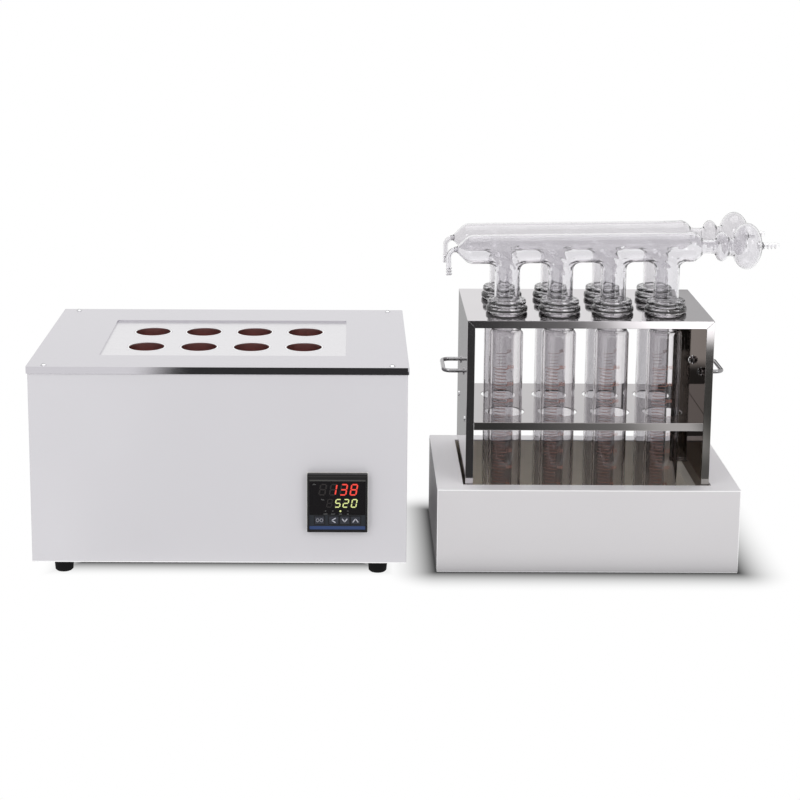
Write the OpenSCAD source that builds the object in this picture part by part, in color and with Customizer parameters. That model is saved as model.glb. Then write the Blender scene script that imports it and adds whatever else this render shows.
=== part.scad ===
// Block digester: a heater unit with eight wells in a lowered plate, and beside it a drip tray
// in which the tube rack stands, with eight digestion tubes and two exhaust manifolds of glass.
// Millimetres. Origin on the bench, in the middle of the whole set: +X right, +Y back, +Z up.

/* [Heater cabinet] */
// Width of the painted cabinet
cabinet_w = 450; // [440:1:500]
// Depth of the painted cabinet
cabinet_d = 311; // [300:1:350]
// Height of the heater unit without its feet
unit_h = 242; // [236:1:280]
// Thickness of the cabinet's sheet steel
sheet = 1.2; // [0.8:0.1:1.6]
// Width of the flange turned in under the cover
cabinet_flange = 14; // [11:1:18]
// Height of the lip turned up round the bottom plate
bottom_lip = 12; // [8:1:16]
// Thickness of the cover's sheet
cover_sheet = 1.2; // [0.8:0.1:1.6]
// Height of the cover's skirt
skirt_h = 8.6; // [6:0.2:14]
// Gap between the cover's skirt and the cabinet
cover_gap = 0.3; // [0.2:0.1:0.6]
// Distance of the cover screws from the cover's sides
cover_screw_x = 20; // [16:1:26]
// Distance of the cover screws from the cover's front and rear edges
cover_screw_y = 9; // [8:0.5:11]
// Height of the rubber feet
foot_h = 20; // [14:1:26]
// Diameter of a rubber foot at its top
foot_d = 26; // [22:1:32]
// Distance of the foot's centre from the cabinet's side
foot_inset_x = 34; // [28:1:50]
// Distance of the foot's centre from the cabinet's front and rear
foot_inset_y = 30; // [26:1:50]

/* [Wells and block] */
// Distance between two columns of tubes or wells
col_pitch = 65; // [62:0.5:70]
// Distance between the two rows of tubes or wells
row_pitch = 81; // [78:0.5:88]
// How far the wells lie right of the cabinet's middle
well_shift_x = 2; // [-5:0.5:5]
// How far the wells lie back from the cabinet's middle
well_shift_y = -4; // [-8:0.5:8]
// How far the well plate lies below the cover
plate_drop = 2.5; // [1.5:0.1:4]
// Thickness of the well plate
plate_t = 2; // [1.5:0.1:3]
// Width of the well plate's border under the cover
plate_border = 8; // [8:0.5:12]
// Room for a tube in its well, across
well_clear = 2; // [1.2:0.1:3]
// Depth of a well below the top of the well plate
well_depth = 67.5; // [64.5:0.5:72]
// Wall of a well sleeve
sleeve_wall = 1.8; // [1.2:0.1:2.4]
// Floor of a well sleeve
sleeve_floor = 2; // [1.5:0.5:4]
// Gap between a sleeve and the hole in the well plate
sleeve_gap = 0.2; // [0.1:0.1:0.5]
// Aluminium between the outer wells and the block's sides
block_margin = 16; // [12:1:18]
// Aluminium below the wells
block_base = 28; // [24:1:32]
// Air between the block and the well plate
block_air = 5.5; // [4:0.5:10]
// Insulation round the block
insulation_t = 15; // [12:1:18]
// Insulation below the block
insulation_floor = 25; // [20:1:30]
// Diameter of a cartridge heater
cartridge_d = 12.7; // [10:0.1:16]
// Distance between two cartridge heaters
cartridge_pitch = 38; // [34:1:40]
// Length of a cartridge heater
cartridge_l = 262; // [240:1:266]
// Diameter of the temperature probe
probe_d = 6; // [4:0.5:8]
// Diameter of the pillars under the inner box
pillar_d = 12; // [10:1:16]

/* [Controller] */
// Width and height of the controller's bezel
bezel = 72; // [70:1:76]
// How far the bezel stands proud of the cabinet
bezel_proud = 7; // [6:0.5:9]
// Thickness of the pale gasket behind the bezel
gasket_t = 0.8; // [0.5:0.1:1.2]
// Width of the gasket that shows round the bezel
gasket_edge = 0.7; // [0.3:0.1:1.5]
// Depth of the controller's case behind the cabinet's face
case_depth = 76; // [60:1:80]
// How far the controller's centre lies right of the cabinet's middle
controller_x = 142; // [130:1:150]
// Height of the controller's centre above the cabinet's underside
controller_z = 77; // [70:1:79]
// Width of a key
key_w = 11; // [9:0.5:11.5]
// Height of a key
key_h = 9; // [7:0.5:10]
// Gap round a key
key_gap = 0.25; // [0.2:0.05:0.4]
// Travel of a key
key_travel = 0.5; // [0.3:0.1:0.6]
// Distance between two arrow keys
key_pitch = 13; // [12.5:0.5:13.5]

/* [Rear panel] */
// Number of louvres in a column
louvre_count = 8; // [4:1:9]
// Length of a louvre
louvre_l = 60; // [40:1:80]
// Distance between two louvres
louvre_pitch = 12; // [11:0.5:14]
// How far a louvre's hood stands out
louvre_proud = 3; // [2.5:0.1:4]
// How far the mains inlet's flange stands out
inlet_proud = 3; // [2:0.5:4]
// How far the rocker's raised edge stands out
rocker_proud = 6; // [5.5:0.5:8]

/* [Rack] */
// Width of the tube rack
rack_w = 297; // [290:1:310]
// Depth of the tube rack
rack_d = 187; // [180:1:200]
// Height of the tube rack
rack_h = 229; // [225:1:236]
// Thickness of the rack's sheet
rack_sheet = 1.5; // [1:0.1:2]
// Width of the flanges along the rack's edges
rack_flange = 9.4; // [7:0.2:12]
// Height of the shelf's top above the rack's underside
shelf_h = 102.5; // [90:0.5:115]
// Thickness of the shelf's sheet
shelf_sheet = 1.2; // [1:0.1:1.6]
// Height of the shelf's lips
shelf_lip = 9.8; // [7:0.2:12]
// Room for a tube in the rack's top plate, across
top_hole_clear = 3; // [2:0.1:4]
// Room for a tube in the shelf, across
shelf_hole_clear = 6; // [4:0.1:8]
// Diameter of the handle wire
wire_d = 5; // [4:0.5:6]
// Distance between the two legs of a handle
handle_span = 60; // [50:1:75]
// How far a handle stands out
handle_reach = 27; // [24:0.5:29]
// Height of the handles above the rack's underside
handle_h = 151; // [140:1:170]

/* [Tubes] */
// Outer diameter of a tube
tube_d = 42; // [41:0.5:43]
// Length of a tube with its rim
tube_l = 300; // [296:1:303]
// Wall of a tube
tube_wall = 1.8; // [1.4:0.1:2.4]
// Outer diameter of a tube's rim
rim_d = 51; // [50:0.5:54]
// Height of a tube's rim
rim_h = 8; // [6:0.5:9]
// Outer diameter of a tube's neck
neck_d = 34; // [33:0.5:36]
// Length of a tube's neck below its rim
neck_l = 8; // [6:0.5:12]

/* [Manifolds] */
// Outer diameter of a manifold's main pipe
pipe_d = 36; // [33:0.5:40]
// Height of the main pipe's axis above the rack's top
pipe_rise = 79.4; // [74:0.5:90]
// Rise of the main pipe to the right, in degrees
pipe_slope = 0.9; // [0:0.1:1.5]
// Wall of the manifolds' glass
glass_wall = 2; // [1.5:0.1:2.5]
// Outer diameter of a drop
drop_d = 31; // [28:0.5:32]
// Outer diameter of a drop's flange
flange_d = 47; // [44:0.5:50]
// Height of a drop's flange
flange_h = 8; // [6:0.5:9]
// Radius of the fillet between a drop and the pipe
tee_fillet = 7; // [4:0.5:8]
// Reach of the main pipe to the left of the middle column
pipe_left = 142; // [138:1:150]
// Reach of the main pipe to the right of the middle column
pipe_right = 127; // [125:1:140]
// Outer diameter of the small bulb
small_bulb_d = 36; // [30:1:40]
// Outer diameter of the big bulb
big_bulb_d = 57; // [50:1:60]
// Outer diameter of the hose barbs
barb_d = 8.2; // [7:0.2:9]
// Bore of the hose barbs
barb_bore = 3.2; // [2.4:0.2:4]
// Length of the hose barb at the right
barb_l = 22.5; // [18:0.5:28]

/* [Drip tray] */
// Height of the drip tray
tray_h = 104; // [98:1:112]
// Thickness of the tray's painted sheet
tray_sheet = 1.5; // [1:0.1:2]
// Width of the tray's rim at the sides
rim_side = 32.5; // [28:0.5:40]
// Width of the tray's rim at the front and rear
rim_front = 21; // [18:0.5:30]
// Gap between the rack and the tray's opening
tray_gap = 2.5; // [1.5:0.1:4]
// Thickness of the stainless basin
basin_sheet = 1.2; // [1:0.1:1.6]
// How far the basin's ledges lie below the rim
ledge_drop = 25; // [20:0.5:25]
// Width of the basin's ledges
ledge_w = 14; // [12:0.5:18]
// Height of the basin's underside above the bench
basin_lift = 3; // [2.5:0.5:4]

/* [Placing] */
// Distance from the heater's middle to the tray's middle, to the right
unit_spacing = 446; // [440:1:520]
// How far the tray's middle lies in front of the heater's middle
tray_forward = 13.5; // [0:0.5:30]
// Gap left under the pieces that lift off
lift_gap = 0.2; // [0.1:0.1:0.3]

/* [Hidden] */
$fn = 64;
over = 1;
columns = 4;

// Heater, from its own middle
cover_w = cabinet_w + 2 * (cover_gap + cover_sheet);
cover_d = cabinet_d + 2 * (cover_gap + cover_sheet);
top_z = foot_h + unit_h;
shell_top = top_z - cover_sheet;
plate_z = top_z - plate_drop;
seat_gap_x = 1;
seat_gap_y = 2;
seat_w = rack_w + 2 * seat_gap_x;
seat_d = rack_d + 2 * seat_gap_y;
plate_w = seat_w + 2 * plate_border;
plate_d = seat_d + 2 * plate_border;
well_d = tube_d + well_clear;
sleeve_d = well_d + 2 * sleeve_wall;
plate_hole_d = sleeve_d + 2 * sleeve_gap;
well_floor_z = plate_z - well_depth;
sleeve_z = well_floor_z - sleeve_floor;
wells_w = (columns - 1) * col_pitch + sleeve_d;
wells_d = row_pitch + sleeve_d;
block_w = wells_w + 2 * block_margin;
block_d = wells_d + 2 * block_margin;
block_z = sleeve_z - block_base;
block_top = plate_z - plate_t - block_air;
cartridge_z = block_z + block_base / 2;
cartridge_gap = 0.1;
jacket_w = block_w + 2 * insulation_t;
jacket_d = block_d + 2 * insulation_t;
jacket_z = block_z - insulation_floor;
jacket_top = plate_z - plate_t;
box_w = jacket_w + 2 * sheet;
box_d = jacket_d + 2 * sheet;
box_z = jacket_z - sheet;
box_flange = 6;
bottom_top = foot_h + sheet;
corner_r = 1.5;
screw_d = 4;
screw_head_d = 7.6;
screw_head_h = 2.4;

// Controller, from the cabinet's middle: the bezel's front face is at y = panel_y - bezel_proud
panel_y = -cabinet_d / 2;
bezel_y = panel_y - bezel_proud;
controller_mid_z = foot_h + controller_z;
bezel_wall = 2.2;
face_drop = 0.8;
face_t = 1.6;
cutout = bezel - 4;
case_size = cutout - 0.6;
window_top = 9;
window_h = 41.5;
window_gap = 0.15;
window_w = bezel - 2 * bezel_wall - 1.4;
key_row = 57.2;
key_first = 14.8;
key_flange = 0.8;
key_hold = 0.9;
key_play = 0.3;
key_proud = key_travel + 0.1;
case_stub = 2.4;
case_back = panel_y + case_depth + case_stub;
case_front = bezel_y + face_drop + face_t + key_play + key_flange + key_travel + 0.8;

// Rear panel
rear_y = cabinet_d / 2;
inlet_x = -150;
inlet_z = foot_h + 60;
inlet_depth = 24;
inlet_back = rear_y - inlet_depth + 0.1;
inlet_w = 27;
inlet_h = 20;
rocker_z = inlet_z + 52;
rocker_w = 15;
rocker_h = 21;
rocker_gap = 0.4;
rocker_pivot_y = -1;
rocker_pin_d = 2;
rocker_wall = 1.2;
louvre_x = 60;
louvre_z = foot_h + 30;

// Rack and tray, from the tray's middle
opening_w = rack_w + 2 * tray_gap;
opening_d = rack_d + 2 * tray_gap;
tray_w = opening_w + 2 * rim_side;
tray_d = opening_d + 2 * rim_front;
ledge_z = tray_h - ledge_drop;
rack_z = ledge_z + lift_gap;
rack_top = rack_z + rack_h;
rack_fit = 0.2;
shelf_z = rack_z + shelf_h;
shelf_w = rack_w - 2 * (rack_sheet + rack_fit);
handle_z = rack_z + handle_h;
handle_bend = 9;
nut_size = 8;
nut_t = 4;
washer_t = 1;

// Tubes and manifolds
rim_z = rack_top + lift_gap;
mouth_z = rim_z + rim_h;
tube_bottom = mouth_z - tube_l;
tube_r = tube_d / 2;
neck_r = neck_d / 2;
shoulder_r = tube_r - neck_r;
flange_z = mouth_z + lift_gap;
pipe_z = rack_top + pipe_rise;
pipe_r = pipe_d / 2;
barb_r = barb_d / 2;
barb_root = barb_r - 0.9;
neck_1_r = 8.5;
neck_2_r = 10.5;
taper_l = 17;
dome_l = 13;
small_bulb_at = pipe_right + 36.5;
small_bulb_half = 9.5;
big_bulb_at = small_bulb_at + 30.5;
big_bulb_half = 18;
barb_at = big_bulb_at + big_bulb_half - 0.6;
barb_end = barb_at + barb_l;
barb_ribs = 4;
hook_bend = 10;
hook_drop = 22;
hook_root = 3.2;

// Places of the two units: the whole set is centred on the origin
set_left = cover_w / 2;
set_right = unit_spacing + barb_end * cos(pipe_slope) + barb_root * sin(pipe_slope);
heater_x = (set_left - set_right) / 2;
heater_y = (bezel_proud - rocker_proud) / 2;
tray_x = heater_x + unit_spacing;
tray_y = heater_y - tray_forward;

module on_heater() {
    translate([heater_x, heater_y, 0]) children();
}

module on_wells() {
    on_heater() translate([well_shift_x, well_shift_y, 0]) children();
}

module on_tray() {
    translate([tray_x, tray_y, 0]) children();
}

function column_x(i) = (i - (columns - 1) / 2) * col_pitch;

// One copy of the children at each of the eight tube places
module at_each_tube() {
    for (i = [0 : columns - 1])
        for (row = [-1, 1])
            translate([column_x(i), row * row_pitch / 2, 0]) children();
}

module rounded_rect(w, d, r) {
    square([w - 2 * r, d], center = true);
    square([w, d - 2 * r], center = true);
    for (x = [-1, 1])
        for (y = [-1, 1])
            translate([x * (w / 2 - r), y * (d / 2 - r)]) circle(r, $fn = 24);
}

// A flat ring of sheet: outer size, and the width left inside it
module rect_ring(w, d, inner_w, inner_d, r) {
    difference() {
        rounded_rect(w, d, r);
        square([inner_w, inner_d], center = true);
    }
}

module block(x, y, z, w, d, h) {
    translate([x - w / 2, y - d / 2, z]) cube([w, d, h]);
}

// A pan-head screw that hangs down from z = 0, with a cross slot in its head
module pan_screw(length) {
    slot = 1.1;
    difference() {
        intersection() {
            cylinder(d = screw_head_d, h = screw_head_h);
            translate([0, 0, -screw_head_d * 0.42]) sphere(d = screw_head_d * 1.35);
        }
        for (a = [0, 90])
            rotate(a) block(0, 0, screw_head_h - 1.2, screw_head_d * 0.55, slot, over * 2);
    }
    translate([0, 0, -length]) cylinder(d = screw_d, h = length + 0.1);
}

// A round bar from point a to point b
module bar(a, b, d) {
    run = b - a;
    length = norm(run);
    translate(a)
        rotate([0, acos(run[2] / length), atan2(run[1], run[0])])
            cylinder(d = d, h = length, $fn = 24);
}

// An insulated wire along a list of points, a little thicker at its bends
module wire(points, d) {
    for (i = [0 : len(points) - 2])
        bar(points[i], points[i + 1], d);
    for (i = [1 : len(points) - 2])
        translate(points[i]) sphere(d = d * 1.12, $fn = 24);
}

// ---- heater unit ----

// One pressed louvre: a quarter-round hood, open below, with closed ends
module louvre_hood() {
    module quarter(r) {
        intersection() {
            circle(r, $fn = 32);
            square(r);
        }
    }
    rotate([90, 0, 90]) {
        linear_extrude(louvre_l, center = true)
            difference() {
                quarter(louvre_proud);
                quarter(louvre_proud - sheet);
            }
        for (side = [-1, 1])
            translate([0, 0, side * (louvre_l - sheet) / 2])
                linear_extrude(sheet, center = true) quarter(louvre_proud);
    }
}

module at_louvres() {
    for (x = [-1, 1])
        for (i = [0 : louvre_count - 1])
            translate([x * louvre_x, rear_y, louvre_z + i * louvre_pitch]) children();
}

module cabinet_shell() {
    color([0.86, 0.86, 0.85]) on_heater() {
        difference() {
            union() {
                translate([0, 0, foot_h]) linear_extrude(shell_top - foot_h)
                    rect_ring(cabinet_w, cabinet_d, cabinet_w - 2 * sheet, cabinet_d - 2 * sheet,
                              corner_r);
                translate([0, 0, shell_top - sheet]) linear_extrude(sheet)
                    rect_ring(cabinet_w, cabinet_d, cabinet_w - 2 * cabinet_flange,
                              cabinet_d - 2 * cabinet_flange, corner_r);
            }
            block(controller_x, panel_y, controller_mid_z - cutout / 2, cutout, 8 * sheet, cutout);
            block(inlet_x, rear_y, inlet_z - inlet_h / 2, inlet_w, 8 * sheet, inlet_h);
            block(inlet_x, rear_y, rocker_z - rocker_h / 2, rocker_w, 8 * sheet, rocker_h);
            at_louvres()
                block(0, 0, 0, louvre_l - 2 * sheet, 8 * sheet, louvre_proud - sheet);
            for (x = [-1, 1])
                for (y = [-1, 1])
                    translate([x * (cover_w / 2 - cover_screw_x), y * (cover_d / 2 - cover_screw_y),
                               shell_top - sheet - over])
                        cylinder(d = screw_d + 0.1, h = sheet + 2 * over);
        }
        at_louvres() louvre_hood();
    }
}

module bottom_plate() {
    fit = 0.2;
    w = cabinet_w - 2 * (sheet + fit);
    d = cabinet_d - 2 * (sheet + fit);
    color([0.7, 0.7, 0.7]) on_heater() difference() {
        translate([0, 0, foot_h]) union() {
            linear_extrude(sheet) rounded_rect(w, d, corner_r);
            linear_extrude(bottom_lip) rect_ring(w, d, w - 2 * sheet, d - 2 * sheet, corner_r);
        }
        for (i = [-7 : 7])
            for (y = [-1, 1])
                block(i * 14, y * 60, foot_h - over, 4, 50, sheet + 2 * over);
        at_feet() translate([0, 0, foot_h - over]) cylinder(d = screw_d + 0.2, h = sheet + 2 * over);
    }
}

module at_feet() {
    for (x = [-1, 1])
        for (y = [-1, 1])
            translate([x * (cabinet_w / 2 - foot_inset_x), y * (cabinet_d / 2 - foot_inset_y), 0])
                children();
}

module top_cover() {
    lip = cover_sheet;
    color([0.8, 0.8, 0.8]) on_heater() difference() {
        union() {
            translate([0, 0, shell_top]) linear_extrude(cover_sheet)
                rounded_rect(cover_w, cover_d, corner_r);
            translate([0, 0, top_z - skirt_h]) linear_extrude(skirt_h)
                rect_ring(cover_w, cover_d, cover_w - 2 * cover_sheet, cover_d - 2 * cover_sheet,
                          corner_r);
            translate([well_shift_x, well_shift_y, plate_z]) linear_extrude(plate_drop)
                square([seat_w + 2 * lip, seat_d + 2 * lip], center = true);
        }
        block(well_shift_x, well_shift_y, plate_z - over, seat_w, seat_d, plate_drop + 2 * over);
        for (x = [-1, 1])
            for (y = [-1, 1])
                translate([x * (cover_w / 2 - cover_screw_x), y * (cover_d / 2 - cover_screw_y),
                           shell_top - over])
                    cylinder(d = screw_d + 0.3, h = cover_sheet + 2 * over);
    }
}

module well_plate() {
    color([0.83, 0.83, 0.83]) on_wells() difference() {
        translate([0, 0, plate_z - plate_t]) linear_extrude(plate_t)
            rounded_rect(plate_w, plate_d, corner_r);
        at_each_tube() translate([0, 0, plate_z - plate_t - over])
            cylinder(d = plate_hole_d, h = plate_t + 2 * over);
    }
}

module cover_screws() {
    color([0.75, 0.75, 0.76]) on_heater()
        for (x = [-1, 1])
            for (y = [-1, 1])
                translate([x * (cover_w / 2 - cover_screw_x), y * (cover_d / 2 - cover_screw_y),
                           top_z])
                    pan_screw(7);
}

// These screws come from below, through the inner box's flange, and end under the well plate
module plate_screws() {
    color([0.75, 0.75, 0.76]) on_wells() at_box_screws()
        translate([0, 0, jacket_top - sheet]) mirror([0, 0, 1]) difference() {
            cylinder(d = screw_head_d * 0.6, h = screw_head_h);
            block(0, 0, screw_head_h - 1, screw_head_d, 1, over * 2);
        }
}

module at_box_screws() {
    for (x = [-1, 1])
        for (y = [-1, 1])
            translate([x * box_w / 3, y * (box_d + box_flange) / 2, 0]) children();
}

module rubber_feet() {
    bottom_d = foot_d * 0.84;
    lip_h = 3;
    bore = 9;
    color([0.1, 0.1, 0.1]) on_heater() at_feet() rotate_extrude() difference() {
        union() {
            polygon([[0, 0], [bottom_d / 2 - 1.5, 0], [bottom_d / 2, 1.5],
                     [foot_d / 2 - 0.8, foot_h - lip_h], [foot_d / 2, foot_h - lip_h],
                     [foot_d / 2, foot_h], [0, foot_h]]);
        }
        translate([0, -over]) square([screw_d / 2, foot_h + 2 * over]);
        translate([0, -over]) square([bore / 2, foot_h - 2 * lip_h + over]);
    }
}

module foot_screws() {
    washer = 1;
    lip_h = 3;
    head_z = foot_h - 2 * lip_h;
    color([0.7, 0.7, 0.72]) on_heater() at_feet() {
        translate([0, 0, head_z - washer - 2]) cylinder(d = 7, h = 2 + 0.1);
        translate([0, 0, head_z - washer]) cylinder(d = 8.4, h = washer);
        translate([0, 0, head_z - washer]) cylinder(d = screw_d, h = 2 * lip_h + sheet + 6);
        translate([0, 0, bottom_top]) cylinder(d = 8, h = 3.2, $fn = 6);
    }
}

module at_cartridges() {
    for (i = [-1.5 : 1.5])
        translate([-block_w / 2, i * cartridge_pitch, cartridge_z]) rotate([0, 90, 0]) children();
}

module heating_block() {
    color([0.75, 0.76, 0.77]) on_wells() difference() {
        block(0, 0, block_z, block_w, block_d, block_top - block_z);
        at_each_tube() translate([0, 0, sleeve_z])
            cylinder(d = sleeve_d, h = block_top - sleeve_z + over);
        at_cartridges() translate([0, 0, -over])
            cylinder(d = cartridge_d + cartridge_gap, h = cartridge_l + over);
        probe_path(probe_d + 0.2);
    }
}

module well_sleeves() {
    color([0.35, 0.2, 0.16]) on_wells() at_each_tube() difference() {
        translate([0, 0, sleeve_z]) cylinder(d = sleeve_d, h = plate_z - sleeve_z);
        translate([0, 0, well_floor_z]) cylinder(d = well_d, h = well_depth + over);
    }
}

module insulation_jacket() {
    color([0.93, 0.92, 0.88]) on_wells() difference() {
        block(0, 0, jacket_z, jacket_w, jacket_d, block_top - jacket_z);
        block(0, 0, block_z, block_w, block_d, block_top - block_z + over);
        at_cartridges() translate([0, 0, -insulation_t - over])
            cylinder(d = cartridge_d + 1, h = insulation_t + 2 * over);
        probe_path(probe_d + 1);
    }
}

module inner_box() {
    color([0.72, 0.73, 0.74]) on_wells() difference() {
        union() {
            block(0, 0, box_z, box_w, box_d, jacket_top - box_z);
            block(0, 0, jacket_top - sheet, box_w, box_d + 2 * box_flange, sheet);
        }
        block(0, 0, jacket_z, jacket_w, jacket_d, jacket_top - jacket_z + over);
        at_cartridges() translate([0, 0, -insulation_t - sheet - over])
            cylinder(d = cartridge_d + 1, h = insulation_t + sheet + 2 * over);
        probe_path(probe_d + 1);
    }
}

module box_pillars() {
    inset_x = 12;
    head = 3;
    clear = 5.6;
    reach_y = well_shift_y - case_back - pillar_d / 2 - head - clear;
    color([0.78, 0.79, 0.8]) on_wells()
        for (x = [-1, 1])
            for (y = [-1, 1])
                translate([x * (box_w / 2 - inset_x), y * reach_y, bottom_top]) {
                    cylinder(d = pillar_d, h = box_z - bottom_top);
                    cylinder(d = pillar_d + 2 * head, h = head);
                }
}

// Each heater is a smooth rod with a ceramic head outside the inner box
module cartridge_heaters() {
    head_l = 8;
    reach = insulation_t + sheet + 0.6;
    color([0.6, 0.6, 0.62]) on_wells() at_cartridges() {
        translate([0, 0, -reach]) cylinder(d = cartridge_d, h = cartridge_l + reach - 0.4);
        translate([0, 0, -reach - head_l]) cylinder(d = cartridge_d + 3, h = head_l + 0.1);
        for (y = [-1, 1])
            translate([0, y * 3, -reach - head_l - 10]) cylinder(d = 2.2, h = 10.1);
    }
}

// The probe goes in from the block's rear, between two wells
module probe_path(d) {
    reach = block_d / 2 + insulation_t + sheet + 12;
    translate([0, reach, probe_z]) rotate([90, 0, 0]) cylinder(d = d, h = reach - probe_depth);
}

probe_z = well_floor_z + 15;
probe_depth = 40;

module temperature_probe() {
    color([0.68, 0.68, 0.7]) on_wells() {
        probe_path(probe_d);
        translate([0, box_d / 2 + 0.2, probe_z]) rotate([-90, 0, 0])
            cylinder(d = 13, h = 5, $fn = 6);
    }
}

// A disc thermostat on the inner box's right wall
module overheat_cutout() {
    at_z = block_z;
    color([0.3, 0.3, 0.32]) on_wells() translate([box_w / 2, -40, at_z]) rotate([0, 90, 0]) {
        translate([-5, -17, 0]) cube([10, 34, 0.8]);
        cylinder(d = 17, h = 8);
        for (y = [-1, 1])
            translate([-3, y * 5 - 0.4, 8 - 0.1]) cube([6, 0.8, 8]);
    }
}

// ---- controller ----

module on_controller() {
    on_heater() translate([controller_x, 0, controller_mid_z]) children();
}

module controller_gasket() {
    size = bezel + 2 * gasket_edge;
    color([0.9, 0.9, 0.88]) on_controller() difference() {
        block(0, panel_y - gasket_t / 2, -size / 2, size, gasket_t, size);
        block(0, panel_y, -cutout / 2, cutout, 4 * gasket_t, cutout);
    }
}

function key_x(i) = -bezel / 2 + (i == 0 ? key_first : 31.8 + (i - 1) * key_pitch);

key_mid_z = bezel / 2 - key_row;
face_y = bezel_y + face_drop;

module controller_bezel() {
    depth = bezel_proud - gasket_t;
    inside = bezel - 2 * bezel_wall;
    color([0.09, 0.09, 0.1]) on_controller() difference() {
        translate([0, panel_y - gasket_t, 0]) rotate([90, 0, 0])
            linear_extrude(depth) rounded_rect(bezel, bezel, 1.2);
        block(0, face_y - over / 2, -inside / 2, inside, over, inside);
        block(0, panel_y - gasket_t - depth / 2 + face_drop + face_t, -inside / 2,
              inside, depth, inside);
        window_space(window_w, window_h, 4 * face_t);
        for (i = [0 : 3])
            block(key_x(i), face_y, key_mid_z - key_h / 2 - key_gap,
                  key_w + 2 * key_gap, 4 * face_t, key_h + 2 * key_gap);
    }
}

// The display window's space: its top edge lies below the bezel's top edge
module window_space(w, h, t) {
    block(0, face_y, bezel / 2 - window_top - h, w, t, h);
}

module display_window() {
    ledge = 0.8;
    color([0.05, 0.05, 0.06]) on_controller() {
        translate([0, face_t / 2, -window_gap])
            window_space(window_w - 2 * window_gap, window_h - 2 * window_gap, face_t);
        translate([0, face_t + ledge / 2, ledge / 2])
            window_space(window_w + ledge, window_h + ledge, ledge);
    }
}

module controller_case() {
    length = case_depth + panel_y - case_front;
    terminals = 6;
    color([0.13, 0.13, 0.14]) on_controller() {
        block(0, case_front + length / 2, -case_size / 2, case_size, length, case_size);
        for (x = [-1, 0, 1])
            for (i = [0 : terminals - 1])
                translate([x * 22, case_front + length - 0.1,
                           (i - (terminals - 1) / 2) * 9.5]) rotate([-90, 0, 0])
                    cylinder(d = 6, h = case_stub + 0.1, $fn = 20);
    }
}

module controller_clamp() {
    inner_y = panel_y + sheet;
    clamp_l = 12;
    size = bezel + 6;
    color([0.2, 0.2, 0.22]) on_controller() difference() {
        block(0, inner_y + clamp_l / 2, -size / 2, size, clamp_l, size);
        block(0, inner_y + clamp_l / 2, -case_size / 2 - 0.2, case_size + 0.4, 2 * clamp_l,
              case_size + 0.4);
        for (z = [-1, 1])
            block(0, inner_y + clamp_l, z * size / 2 - 2, size / 2, clamp_l, 4);
    }
}

// A key: its cap stands in the face, and a flange behind the face holds it in
module key(i) {
    cap_t = key_proud + face_t + key_play;
    flange_y = face_y + face_t + key_play;
    color([0.2, 0.22, 0.27]) on_controller() {
        block(key_x(i), face_y - key_proud + cap_t / 2, key_mid_z - key_h / 2, key_w, cap_t,
              key_h);
        block(key_x(i), flange_y + key_flange / 2, key_mid_z - key_h / 2 - key_hold,
              key_w + 2 * key_hold * 0.8, key_flange, key_h + 2 * key_hold);
    }
}

module set_key() { key(0); }
module shift_key() { key(1); }
module down_key() { key(2); }
module up_key() { key(3); }

// ---- power parts ----

relay_x = -60;
relay_y = 40;
sink_w = 90;
sink_d = 70;
sink_base = 6;
sink_fin_h = 24;
sink_fins = 11;

module relay_heat_sink() {
    fin = 2;
    step = (sink_w - fin) / (sink_fins - 1);
    color([0.62, 0.63, 0.65]) on_heater() translate([relay_x, relay_y, bottom_top]) {
        block(0, 0, sink_fin_h, sink_w, sink_d, sink_base);
        for (i = [0 : sink_fins - 1])
            block(-sink_w / 2 + fin / 2 + i * step, 0, 0, fin, sink_d, sink_fin_h + 0.1);
    }
}

relay_w = 45;
relay_d = 58;
relay_h = 24;
relay_z = bottom_top + sink_fin_h + sink_base;

module solid_state_relay() {
    color([0.85, 0.85, 0.8]) on_heater() translate([relay_x, relay_y, relay_z]) {
        block(0, 0, 0, relay_w, relay_d, 3);
        block(0, 0, 3 - 0.1, relay_w, relay_d - 18, relay_h - 3);
        for (x = [-1, 1])
            for (y = [-1, 1])
                translate([x * 13, y * (relay_d / 2 - 5), 3 - 0.1]) cylinder(d = 7, h = 9);
    }
}

terminal_x = -150;
terminal_y = rear_y - 63.5;
terminal_ways = 6;
terminal_pitch = 11;

module terminal_block() {
    length = terminal_ways * terminal_pitch;
    color([0.88, 0.88, 0.84]) on_heater() translate([terminal_x, terminal_y, bottom_top])
        difference() {
            block(0, 0, 0, length, 22, 20);
            for (i = [0 : terminal_ways - 1])
                translate([(i - (terminal_ways - 1) / 2) * terminal_pitch, 0, 0]) {
                    block(0, -8, 8, terminal_pitch - 2, 10, 20);
                    block(0, 8, 8, terminal_pitch - 2, 10, 20);
                    translate([0, 0, 14]) cylinder(d = 4, h = 20, $fn = 20);
                }
        }
}

module earth_stud() {
    color([0.8, 0.66, 0.3]) on_heater() translate([inlet_x + 35, rear_y - 25, bottom_top]) {
        cylinder(d = 5, h = 16);
        cylinder(d = 9.2, h = 4, $fn = 6);
        translate([0, 0, 5]) cylinder(d = 12, h = 1);
        translate([0, 0, 6]) cylinder(d = 9.2, h = 4, $fn = 6);
    }
}

wire_size = 3;
deck_rise = 22;

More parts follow.
